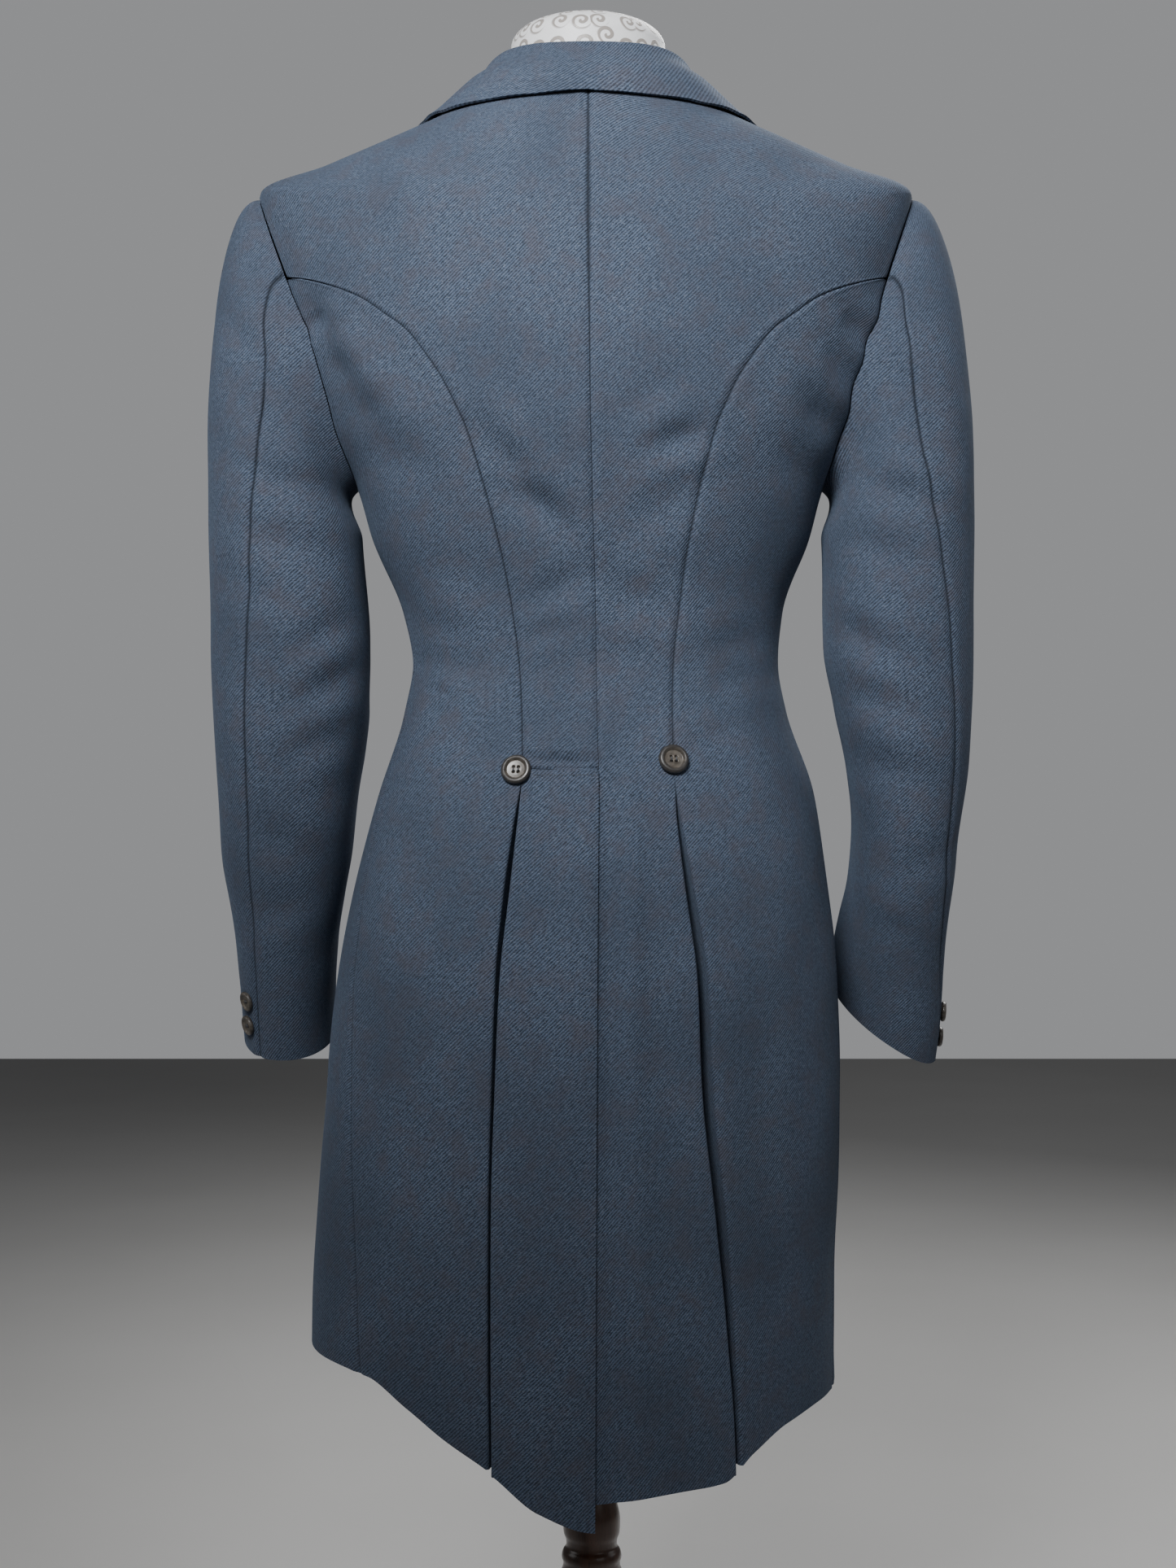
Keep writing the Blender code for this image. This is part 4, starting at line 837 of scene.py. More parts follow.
def front_panel(side):
    """A front: turns from the side seam, armhole or shoulder to its edge, and above the break to the
    lapel's roll line."""
    name = "left" if side > 0 else "right"
    columns = 74
    upper = body_levels(NAPE)

    def start_at(level):
        seam = column(SIDE_SEAM, SIDE_COLUMNS, name, level)
        start = np.where(level < ARMPIT + 1e-6, seam, armhole_turn(level, front=True))
        return np.where(level > TIP - 1e-6, 90.0, start) + degrees_of(SEAM)

    def end_at(level):
        past = column(FRONT_EDGE, EDGE_COLUMNS, name, level)
        low = 180 + np.degrees(np.arcsin(past / column(BODY, BODY_COLUMNS, "left", level)))
        high = turn_at(roll_out(level), level, front=True)
        blend = np.clip((level - BREAK) / 0.035, 0, 1)
        return low * (1 - blend) + high * blend

    share, rows = np.linspace(0, 1, columns), skirt_rows()[:, None]
    first = column(SIDE_SEAM, SIDE_COLUMNS, name, 0.53)
    hem = column(HEM, HEM_COLUMNS, name, first + (180 - first) * share)
    levels = hem + (SKIRT_TOP - hem) * rows
    turns = start_at(levels) * (1 - share) + end_at(levels) * share
    turns = np.concatenate([turns[:-1], between(start_at(upper), end_at(upper), columns)])
    levels = np.concatenate([levels[:-1], np.broadcast_to(upper[:, None], (len(upper), columns))])
    grid = body_point(side * turns, levels, front_lap(turns, levels, side))
    grid = pressed(grid, side, last=0.35)
    # Painted seam shade along the side seam and armhole edge.
    chart = sewn(body_map(turns, levels, front=True), first=0.72) * [side, 1, 1]
    cloth_piece(f"front_{name}", [oriented(grid, side)], [oriented(chart, side)])


def lapel(side):
    """A lapel: a small half round out of the front's roll line, then a gently swelled surface that lies
    on the front as far as the lapel's edge."""
    name = "left" if side > 0 else "right"
    rows = np.linspace(LAPEL[0][0], LAPEL[-1][0], 96)
    edge_level = column(LAPEL, LAPEL_COLUMNS, "edge_level", rows)
    edge_out = column(LAPEL, LAPEL_COLUMNS, "edge_out", rows)
    roll_turn = turn_at(roll_out(rows), rows, front=True)
    edge_turn = turn_at(edge_out, edge_level, front=True)
    share = np.linspace(0, 1, 34)
    levels, turns = between(rows, edge_level, 34), between(roll_turn, edge_turn, 34)
    grow = np.clip((rows[:, None] - LAPEL[0][0]) / 0.05, 0, 1)
    swell = 0.0034 * np.sin(np.pi * share**0.8) * grow
    out = WALL + 0.0013 + front_lap(turns, levels, side) + swell
    lying = body_point(side * turns, levels, out)
    bend = np.radians(np.linspace(180, 15, 10))
    radius = 0.0014 + 0.0004 * grow
    toward = lying[:, :1] - lying[:, 3:4]
    toward /= np.linalg.norm(toward, axis=-1, keepdims=True)
    out_way = ring_normal(side * roll_turn, rows)[:, None]
    centre = lying[:, :1] - out_way * radius[..., None]
    roll = centre + out_way * (radius * np.cos(bend))[..., None] + toward * (radius * np.sin(bend))[..., None]
    grid = np.concatenate([roll, lying], axis=1)
    flat = weave_map(grid) * [-side, 1, 1] + [0.4, 0, 0]
    cloth_piece(f"lapel_{name}", [oriented(grid, -side)], [oriented(flat, -side)])


def collar():
    """The collar: a stand up from the neck seam, a rounded fold and a fall that lies on the shoulders.
    Its section at each turn is a smooth curve through eleven places, carried round the neck."""
    turns = np.linspace(-122, 122, 190)
    size, side = np.abs(turns), np.where(turns < 0, -1, 1)
    value = {name: column(COLLAR, COLLAR_COLUMNS, name, size) for name in COLLAR_COLUMNS.split()[1:]}
    up = np.array([0, 0, 1.0])
    radial = ring_normal(turns, np.full(len(turns), NAPE)) * [1, 1, 0]
    radial /= np.linalg.norm(radial, axis=1, keepdims=True)
    foot = ring_point(turns, np.full(len(turns), NAPE)) - radial * 0.0006 + up * 0.0012
    fold = foot + up * value["stand"][:, None] - radial * value["lean"][:, None]
    radius = 0.0034
    inside = fold - radial * radius - up * 0.004
    rows = [foot, foot * 0.5 + inside * 0.5, inside]
    for angle in (0, 50, 90, 130, 180):
        a = math.radians(angle)
        rows.append(fold - radial * radius * math.cos(a) + up * radius * (math.sin(a) - 1))
    top = rows[-1]
    edge_turn, edge_level = value["edge_turn"] * side, value["edge_level"]
    wave = 0.0006 * np.sin(turns * 0.11 + 0.8) + 0.0004 * np.sin(turns * 0.23)
    edge = body_point(edge_turn, edge_level, WALL + 0.0014 + np.abs(wave))
    for share in (0.3, 0.5, 0.65, 0.85, 1.0):
        turn = turns * (1 - share) + edge_turn * share
        level = NAPE * (1 - share) + edge_level * share
        lying = body_point(turn, level, WALL + 0.0014 + np.abs(wave) + 0.014 * (1 - share) ** 1.5)
        straight = top * (1 - share) + edge * share
        keep = (1 - share) ** 1.5
        rows.append(straight * keep + lying * (1 - keep))
    section = smooth_through(np.stack(rows, axis=0), 56)
    grid = np.swapaxes(section, 0, 1)
    flat = weave_map(grid)[..., [1, 0, 2]] * [1, -1, 1] + [0.6, 0, 0]
    cloth_piece("collar", [grid], [flat])


def smooth_through(knots, count, each=False):
    """A smooth curve through knots, one for each row: each stretch is the cubic that meets its two knots
    with slopes taken from their neighbours. It is stepped evenly along its running length, or with each
    in the same number of steps from knot to knot."""
    step = np.linalg.norm(np.diff(knots, axis=0), axis=2).mean(axis=1)
    at = np.concatenate([[0], np.cumsum(step)])
    slope = np.diff(knots, axis=0) / step[:, None, None]
    weight = (step[:-1] / (step[:-1] + step[1:]))[:, None, None]
    inner = slope[:-1] * (1 - weight) + slope[1:] * weight
    tangent = np.concatenate([slope[:1], inner, slope[-1:]])
    spots = np.linspace(0, at[-1], count)
    if each:
        spots = np.interp(np.linspace(0, len(at) - 1, count), np.arange(len(at)), at)
    i = np.clip(np.searchsorted(at, spots, side="right") - 1, 0, len(at) - 2)
    t = ((spots - at[i]) / step[i])[:, None, None]
    wide = step[i][:, None, None]
    return (
        (2 * t**3 - 3 * t**2 + 1) * knots[i]
        + (t**3 - 2 * t**2 + t) * wide * tangent[i]
        + (3 * t**2 - 2 * t**3) * knots[i + 1]
        + (t**3 - t**2) * wide * tangent[i + 1]
    )


def armhole_point(side, round_it):
    """A point of the armhole edge at an angle round it, where 0 is at the back and 180 at the front."""
    level = armhole_level(np.where(np.abs(round_it) > 90, 180 - round_it, round_it))
    front = (np.asarray(round_it) % 360 > 90) & (np.asarray(round_it) % 360 < 270)
    turn = np.where(front, armhole_turn(level, True), armhole_turn(level, False))
    return body_point(side * turn, level)


def sleeve_ring(side, rounds, z):
    """A ring round the arm: a squared ellipse, leaned back and rolled, where rounds 0 is behind and 90
    outside. rounds is a grid whose rows are the rings, and z one height for each row."""
    table = SLEEVE_LEFT if side > 0 else SLEEVE_RIGHT
    value = {name: column(table, SLEEVE_COLUMNS, name, z)[:, None] for name in SLEEVE_COLUMNS.split()[1:]}
    angle, power = np.radians(rounds), 2.15
    lean, roll = np.radians(value["lean"]), np.radians(value["roll"])
    reach = (np.abs(np.sin(angle)) ** power + np.abs(np.cos(angle)) ** power) ** (-1 / power)
    out = reach * np.sin(angle) * value["across"] / np.cos(roll)
    back = reach * np.cos(angle) * value["deep"]
    x = value["x"] + out * side * np.cos(roll)
    y = value["y"] + back * np.cos(lean)
    down = z[:, None] - out * np.sin(roll) - back * np.sin(lean)
    return np.stack([x, y, down], axis=-1)


def sleeve_points(side, low, high, columns):
    """A sleeve piece as a grid. Above the top ring each column is a cubic from the armhole, where it
    leaves square to the hole, to the ring; below it the rings follow the arm's table to the cuff."""
    table = SLEEVE_LEFT if side > 0 else SLEEVE_RIGHT
    top, bottom = table[-1][0], table[0][0]
    share = np.linspace(0, 1, columns)
    steps = np.linspace(0, 1, 42)
    arm = np.linspace(top, bottom, 112)[1:]
    every = np.concatenate([np.full(len(steps), top), arm])
    turn = column(table, SLEEVE_COLUMNS, "seam", every)
    turn[: len(steps)] = column(CAP_SEAM, CAP_SEAM_COLUMNS, "left" if side > 0 else "right", steps)
    rounds = turn[:, None] + low + (high - low) * share
    cap_rounds = rounds[: len(steps)]
    start = armhole_point(side, cap_rounds)
    middle = armhole_point(side, np.arange(0, 360, 15)).mean(axis=0)
    radial = start - middle
    radial /= np.linalg.norm(radial, axis=-1, keepdims=True)
    leave = np.array([side * 0.97, 0.0, -0.24]) + radial * 0.22
    leave /= np.linalg.norm(leave, axis=-1, keepdims=True)
    level = np.full(len(steps), top)
    end = sleeve_ring(side, cap_rounds, level)
    arrive = sleeve_ring(side, cap_rounds, level - 0.01) - end
    arrive /= np.linalg.norm(arrive, axis=-1, keepdims=True)
    length = np.linalg.norm(end - start, axis=-1, keepdims=True)
    first = start + leave * 0.0001
    t = steps[:, None, None]
    cap = (
        (2 * t**3 - 3 * t**2 + 1) * first
        + (t**3 - 2 * t**2 + t) * leave * np.minimum(0.62 * length + 0.03, 0.11)
        + (3 * t**2 - 2 * t**3) * end
        + (t**3 - t**2) * arrive * length
    )
    return np.concatenate([cap, sleeve_ring(side, rounds[len(steps) :], arm)])


def sleeve_map(grid, side, inside):
    """The straight grain of a sleeve: the way round the arm's middle line at each point's height, times
    the arm's mean radius, and the height itself. The cut of the map lies on the side away from the piece."""
    table = SLEEVE_LEFT if side > 0 else SLEEVE_RIGHT
    height = grid[..., 2]
    x = column(table, SLEEVE_COLUMNS, "x", height)
    y = column(table, SLEEVE_COLUMNS, "y", height)
    turn = np.arctan2((grid[..., 0] - x) * side, grid[..., 1] - y)
    turn = np.where(turn > (0.5 * np.pi if inside else 2 * np.pi), turn - 2 * np.pi, turn)
    turn = np.where(turn < (-2 * np.pi if inside else -0.5 * np.pi), turn + 2 * np.pi, turn)
    return np.stack([turn * 0.058 * side, height, 0 * height], axis=-1)


def sleeve(side):
    """The two pieces of a sleeve, parted at the hind-arm and fore-arm seams, with creases that fade out
    at the armhole and the cuff."""
    name = "left" if side > 0 else "right"
    settings = bpy.context.scene.frock_coat
    for part, low, high, columns in (("top", 0.0, 180.0, 62), ("under", 180.0, 360.0, 52)):
        grid = sleeve_points(side, low - 0.03, high + 0.03, columns)
        normal = facing(grid) * -side
        push = relief(grid, normal, SLEEVE_BACK_CREASES, SLEEVE_FRONT_CREASES, settings.creases)
        row = np.arange(len(grid))[:, None]
        push = push * np.clip(row / 10, 0, 1) * np.clip((len(grid) - 1 - row) / 12, 0, 1)
        grid = grid + push[..., None] * normal
        grid = pressed(grid, -side)
        hole = np.exp(-((row / 1.3) ** 2)) - 0.5 * np.exp(-(((row - 5) / 2.6) ** 2))
        grid = grid - (0.30 * settings.seam_depth * hole)[..., None] * facing(grid) * -side
        # Painted seam shade along both sleeve seams, weaker along the armhole.
        flat = sewn(sleeve_map(grid, side, part == "under"), 1.0, 1.0)
        flat[0, :, 2] = 0.60
        patch, chart = (grid, flat) if side < 0 else (grid[:, ::-1], flat[:, ::-1])
        cloth_piece(f"sleeve_{part}_{name}", [patch], [chart])


def turned(profile, sides, start=(0.0, 0.0), smooth=0):
    """A turned piece: a profile of radius and height swept once round, with its weave map in metres.
    With smooth, the profile is first drawn as a smooth curve, with that many steps for each row."""
    profile = np.array(profile, float)
    if smooth:
        knots = np.stack([profile[:, 0], profile[:, 1], 0 * profile[:, 0]], axis=1)[:, None]
        profile = smooth_through(knots, smooth * (len(knots) - 1) + 1, each=True)[:, 0, :2]
    angle = np.linspace(0, 2 * np.pi, sides + 1)
    radius, height = profile[:, 0][:, None], profile[:, 1][:, None]
    x, y = start[0] + radius * np.cos(angle), start[1] + radius * np.sin(angle)
    grid = np.stack([x, y, height + 0 * angle], axis=-1)
    grid[:, -1] = grid[:, 0]
    step = np.linalg.norm(np.diff(profile, axis=0), axis=1)
    along = np.concatenate([[0], np.cumsum(step)])[:, None]
    chart = np.stack([angle * profile[:, 0].max() + 0 * along, along + 0 * angle], axis=-1)
    return grid, chart


def closed_grid(name, grid, chart, materials, cap_low=True, cap_high=True, smooth=40.0):
    """A closed solid from a grid whose last column meets its first: the seam is merged, and each open
    end is closed with a fan to the mean of its ring."""
    rows, columns = grid.shape[:2]
    ids = np.arange(rows * (columns - 1)).reshape(rows, columns - 1)
    ids = np.concatenate([ids, ids[:, :1]], axis=1)
    points = grid[:, :-1].reshape(-1, 3)
    uvs = chart[:, :-1].reshape(-1, 2)
    quads = np.stack([ids[:-1, :-1], ids[:-1, 1:], ids[1:, 1:], ids[1:, :-1]], axis=-1).reshape(-1, 4)
    normal = np.cross(points[quads[:, 2]] - points[quads[:, 0]], points[quads[:, 3]] - points[quads[:, 1]])
    middle = points[quads].mean(axis=1)
    if (normal * (middle - points.mean(axis=0))).sum() < 0:
        quads = quads[:, ::-1]
    faces = quads.tolist()
    extra = []
    flip = (normal * (middle - points.mean(axis=0))).sum() < 0
    for wanted, ring, low in ((cap_low, ids[0], True), (cap_high, ids[-1], False)):
        if wanted:
            centre = len(points) + len(extra)
            extra.append(points[ring[:-1]].mean(axis=0))
            pair = np.stack([ring[:-1], ring[1:]], axis=1)
            pair = pair if low == flip else pair[:, ::-1]
            faces += [[int(a), int(b), centre] for a, b in pair]
    if extra:
        points = np.concatenate([points, extra])
        uvs = np.concatenate([uvs, np.zeros((len(extra), 2))])
    mesh = bpy.data.meshes.new(name)
    mesh.from_pydata(points.tolist(), [], faces)
    layer = mesh.uv_layers.new(name="weave")
    corner = np.zeros(len(mesh.loops), np.int32)
    mesh.loops.foreach_get("vertex_index", corner)
    layer.data.foreach_set("uv", uvs[corner].astype(np.float32).ravel())
    for made in materials:
        mesh.materials.append(made)
    mesh.shade_smooth()
    mesh.set_sharp_from_angle(angle=math.radians(smooth))
    thing = bpy.data.objects.new(name, mesh)
    bpy.context.scene.collection.objects.link(thing)
    return thing


def hard_piece(thing, finish, *nodes):
    """A rigid piece in place of its plain solids."""
    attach(thing, "root")
    if nodes:
        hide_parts(*nodes)
    return thing


def laid(grid, place, normal):
    """A grid made round the origin, facing up, turned to face along a direction and moved to a place."""
    normal = np.array(normal) / np.linalg.norm(normal)
    side = np.cross([0, 0, 1.0], normal)
    side /= np.linalg.norm(side)
    other = np.cross(normal, side)
    return np.array(place) + grid[..., :1] * side + grid[..., 1:2] * other + grid[..., 2:] * normal


def button_grid(radius):
    """A horn button's surface on a polar grid: its section swept round, with four holes as narrow dips
    that fade with the fourth power of the distance to each hole's middle."""
    scale = radius / WAIST_RADIUS
    section = np.array(BUTTON)
    step = np.linalg.norm(np.diff(section, axis=0), axis=1)
    at = np.concatenate([[0], np.cumsum(step)])
    top = np.linspace(0, at[7], 58)
    spots = np.concatenate([top, np.linspace(at[7], at[-1], 14)[1:]])
    r, h = np.interp(spots, at, section[:, 0]), np.interp(spots, at, section[:, 1])
    r[0] = r[-1] = 0.00001
    angle = np.linspace(0, 2 * np.pi, 73)
    x, y = r[:, None] * np.cos(angle), r[:, None] * np.sin(angle)
    z = h[:, None] + 0 * angle
    for a, b in ((1, 1), (1, -1), (-1, 1), (-1, -1)):
        away = np.hypot(x - a * HOLE_AWAY, y - b * HOLE_AWAY)
        z = z - 0.0021 * np.exp(-((away / HOLE_RADIUS) ** 4)) * (h[:, None] > 0.0025)
    grid = np.stack([x, y, z], axis=-1) * scale
    grid[:, -1] = grid[:, 0]
    return grid, np.stack([x, y], axis=-1) * scale


HOLE_AWAY = 0.00165
HOLE_RADIUS = 0.00085


def thread_grid(scale, which):
    """A sewing thread across two holes of a button: a thin ring section carried along a low arch."""
    t = np.linspace(0, 1, 13)
    y = (2 * t - 1) * HOLE_AWAY
    z = 0.0030 + 0.0007 * np.sin(np.pi * t) - 0.0008 * (np.abs(2 * t - 1) ** 6)
    angle = np.linspace(0, 2 * np.pi, 9)
    x = which * HOLE_AWAY + 0.00042 * np.cos(angle)[None] + 0 * t[:, None]
    grid = np.stack([x, y[:, None] + 0 * angle, z[:, None] + 0.00042 * np.sin(angle)[None]], axis=-1)
    grid[:, -1] = grid[:, 0]
    return grid * scale, np.stack([x, grid[..., 1]], axis=-1) * scale


def button(node, place, normal, radius):
    """A horn button with its rim, four holes and two threads, seated where its plain solid lies."""
    grid, chart = button_grid(radius)
    made = closed_grid(node + "_horn", laid(grid, place, normal), chart, [horn()], smooth=60.0)
    hard_piece(made, "horn", node)
    scale = radius / WAIST_RADIUS
    for number, which in ((1, 1), (2, -1)):
        grid, chart = thread_grid(scale, which)
        stitch = closed_grid(f"{node}_thread_{number}", laid(grid, place, normal), chart, [thread()])
        hard_piece(stitch, "wool")


def node_seat(node):
    """Where a round button's solid lies: the middle of its back face, and the way that it faces. Its
    axis is the direction in which its points spread least, pointing away from the coat's middle."""
    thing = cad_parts[node]
    count = len(thing.data.vertices)
    points = np.zeros(count * 3, np.float32)
    thing.data.vertices.foreach_get("co", points)
    points = points.reshape(-1, 3).astype(float)
    low, high = points.min(axis=0), points.max(axis=0)
    middle = (low + high) / 2
    away = np.linalg.norm(points - middle, axis=1)
    rim = points[away > away.max() * 0.93]
    centre = rim.mean(axis=0)
    normal = np.linalg.svd(rim - centre)[2][2]
    height = (points - centre) @ normal
    if abs(height.max()) < abs(height.min()):
        normal, height = -normal, -height
    flat = points - np.outer((points - centre) @ normal, normal)
    centre = (flat.min(axis=0) + flat.max(axis=0)) / 2
    return centre + normal * height.min(), normal


def buttons():
    """Every horn button: two at the waist, two at each cuff and three on the front."""
    for node in ("waist_button_left", "waist_button_right", "front_button_1", "front_button_2", "front_button_3"):
        button(node, *node_seat(node), WAIST_RADIUS)
    for side in ("left", "right"):
        for number in (1, 2):
            node = f"cuff_button_{side}_{number}"
            button(node, *node_seat(node), CUFF_RADIUS)


def stitch_row(name, path, normal, pitch, long, thick):
    """A row of hand stitches along a path: each is a small half-sunk ellipsoid, longer than it is wide,
    repeated at even steps with a little unevenness from a sine."""
    step = np.linalg.norm(np.diff(path, axis=0), axis=1)
    at = np.concatenate([[0], np.cumsum(step)])
    spots = np.arange(pitch / 2, at[-1], pitch)
    count = len(spots)
    centre = np.stack([np.interp(spots, at, path[:, k]) for k in range(3)], axis=1)
    ahead = np.stack([np.interp(spots + 0.0005, at, path[:, k]) for k in range(3)], axis=1)
    way = ahead - centre
    way /= np.maximum(np.linalg.norm(way, axis=1, keepdims=True), 1e-9)
    up = np.stack([np.interp(spots, at, normal[:, k]) for k in range(3)], axis=1)
    aside = np.cross(way, up)
    angle, tall = np.linspace(0, 2 * np.pi, 7)[:-1], np.linspace(-1, 1, 5)
    ball = np.sqrt(1 - (tall * 0.98) ** 2)
    size = long * (1 + 0.15 * np.sin(np.arange(count) * 2.4))
    a = (way * size[:, None])[:, None, None] * tall[None, :, None, None] * 0.5
    b = aside[:, None, None] * thick * (ball[:, None] * np.cos(angle))[None, :, :, None]
    c = up[:, None, None] * thick * 0.8 * (ball[:, None] * np.sin(angle))[None, :, :, None]
    points = (centre[:, None, None] + a + b + c).reshape(-1, 3)
    ids = np.arange(count * 30).reshape(count, 5, 6)
    nxt = np.roll(ids, -1, axis=2)
    quads = np.stack([ids[:, :-1], ids[:, 1:], nxt[:, 1:], nxt[:, :-1]], axis=-1).reshape(-1, 4)
    ends = np.concatenate([ids[:, 0, ::-1].reshape(-1, 6), ids[:, -1].reshape(-1, 6)])
    mesh = bpy.data.meshes.new(name)
    mesh.from_pydata(points.tolist(), [], quads[:, ::-1].tolist() + ends[:, ::-1].tolist())
    mesh.materials.append(thread())
    mesh.shade_smooth()
    thing = bpy.data.objects.new(name, mesh)
    bpy.context.scene.collection.objects.link(thing)
    return hard_piece(thing, "wool")


def stitches():
    """The stitched rows that show: across the vent's top, and round the three front buttonholes."""
    x = np.linspace(0.0395, -0.0030, 60)
    level = np.full(60, VENT_TOP - 0.0042)
    turn = turn_at(x + 0.0045, level)
    points = body_point(turn, level, LAP + 0.0001)
    stitch_row("vent_stitches", points, ring_normal(turn, level), 0.0024, 0.0017, 0.00028)
    for number, z in enumerate((1.060, 1.010, 0.960)):
        turn = np.linspace(180.0, 173.2, 30)
        for place, rise in (("upper", 0.0011), ("lower", -0.0011)):
            level = np.full(30, z + rise)
            points = body_point(turn, level, front_lap(turn, level, 1) + 0.0001)
            stitch_row(f"buttonhole_{number + 1}_{place}", points, ring_normal(turn, level), 0.0011, 0.0012, 0.0004)


def form():
    """The dress form: its rings round the body and neck, drawn smooth, flat under, and over it the
    neck cap, a shallow dome whose rings shrink as a quarter circle."""
    turns = np.linspace(-180, 180, 145)
    levels = np.concatenate([np.linspace(0.800, 0.818, 8), np.linspace(0.818, 1.365, 120)[1:]])
    grid = ring_point(turns, levels[:, None], FORM)
    knots = [grid[-4], grid[-1]]
    for level, under in ((1.392, 0.0009), (1.408, 0.0010), (1.4215, 0.0026)):
        knots.append(ring_point(turns, level) - (WALL + under) * ring_normal(turns, level))
    angle = np.radians(turns)
    for z, half, back, front in NECK:
        depth = np.where(np.cos(angle) > 0, back, -front)
        knots.append(np.stack([0.0025 + half * np.sin(angle), depth * np.cos(angle), np.full(len(turns), z)], axis=1))
    upper = smooth_through(np.array(knots), 60)
    low = grid[:-4]
    grid = np.concatenate([low, upper])
    chart = weave_map(grid)[..., :2]
    made = closed_grid("form_linen", grid, chart, [linen()])
    hard_piece(made, "linen", "form_torso")
    rings = []
    for z, half, back, front in CAP:
        depth = np.where(np.cos(angle) > 0, back, -front)
        rings.append(np.stack([0.0025 + half * np.sin(angle), depth * np.cos(angle), np.full(len(turns), z)], axis=1))
    wall = rings[0] + (rings[1] - rings[0]) * np.linspace(0, 1, 16)[:, None, None]
    base = rings[1]
    middle = base.mean(axis=0)
    share = np.sin(np.linspace(0, np.pi / 2, 34)[:-1])[:, None, None]
    dome = middle + (base - middle) * np.sqrt(1 - share**2) ** 0.75
    dome[..., 2] = base[0, 2] + (CAP_TOP - base[0, 2]) * share[..., 0]
    cap = np.concatenate([wall[:-1], dome])
    rise = np.linalg.norm(np.diff(cap, axis=0), axis=2).mean(axis=1)
    over = np.concatenate([[0], np.cumsum(rise)])[:, None] + 0 * cap[..., 0]
    chart = np.stack([np.broadcast_to(np.radians(turns) * 0.055, over.shape), over], axis=-1)
    cap = closed_grid("neck_cap_brocade", cap, chart, [brocade()])
    hard_piece(cap, "brocade", "neck_cap")


def stand():
    """The turned post and round base, each from its profile, drawn smooth between its beads."""
    grid, chart = turned(POST, 64, smooth=8)
    hard_piece(closed_grid("post_oak", grid, chart, [oak()]), "oak", "post")
    grid, chart = turned(BASE, 128, smooth=10)
    hard_piece(closed_grid("base_oak", grid, chart, [oak()]), "oak", "base")


class Nodes:
    """A short way to write a material: each call adds a node, sets its values and joins its inputs."""

    def __init__(self, name):
        self.made = bpy.data.materials.new(name)
        self.made.use_nodes = True
        self.tree = self.made.node_tree
        self.shader = self.tree.nodes["Principled BSDF"]

    def add(self, kind, inputs=None, **values):
        """A node of a kind, with its own values set and its inputs joined or filled."""
        new = self.tree.nodes.new(kind)
        for key, value in values.items():
            setattr(new, key, value)
        for key, value in (inputs or {}).items():
            self.put(new.inputs[key], value)
        return new

    def put(self, socket, value):
        """Fills an input with a number or colour, or joins it to a socket."""
        if isinstance(value, bpy.types.NodeSocket):
            self.tree.links.new(value, socket)
        else:
            socket.default_value = value

    def math(self, operation, *values):
        """A Math node's value."""
        new = self.add("ShaderNodeMath", operation=operation)
        for number, value in enumerate(values):
            self.put(new.inputs[number], value)
        return new.outputs[0]

    def mix(self, factor, first, second, blend="MIX"):
        """A colour mixed from two by a factor."""
        new = self.add("ShaderNodeMix", data_type="RGBA", blend_type=blend)
        self.put(new.inputs[0], factor)
        self.put(new.inputs[6], first)
        self.put(new.inputs[7], second)
        return new.outputs[2]

    def noise(self, vector, scale, detail=2.0, rough=0.5):
        """A noise value at a scale."""
        new = self.add("ShaderNodeTexNoise", {"Scale": scale, "Detail": detail, "Roughness": rough})
        self.put(new.inputs["Vector"], vector)
        return new.outputs["Fac"]

    def stretch(self, vector, size):
        """A place stretched by a size along each axis."""
        return self.add("ShaderNodeMapping", {"Vector": vector, "Scale": size}).outputs[0]

    def span(self, value, low, high, to_low=0.0, to_high=1.0):
        """A value spread from one span to another, held inside it."""
        new = self.add("ShaderNodeMapRange", {"Value": value, "From Min": low, "From Max": high,
                                              "To Min": to_low, "To Max": to_high})
        return new.outputs[0]

    def finish(self, colour, rough, bump=None, strength=0.5, distance=0.0004, **constants):
        """Joins the colour, roughness and bump to the shader and sets its constant sockets."""
        self.put(self.shader.inputs["Base Color"], colour)
        self.put(self.shader.inputs["Roughness"], rough)
        if bump is not None:
            new = self.add("ShaderNodeBump", {"Strength": strength, "Distance": distance, "Height": bump})
            self.put(self.shader.inputs["Normal"], new.outputs[0])
        for key, value in constants.items():
            self.shader.inputs[key.replace("_", " ")].default_value = value
        return self.made


def once(make):
    """A material is made on its first use and shared after that."""
    def get():
        name = "dressed_" + make.__name__
        return bpy.data.materials.get(name) or make(name)
    return get


def tinted(colour, by):
    """A colour made lighter or darker by a factor."""
    return (colour[0] * by, colour[1] * by, colour[2] * by, 1.0)


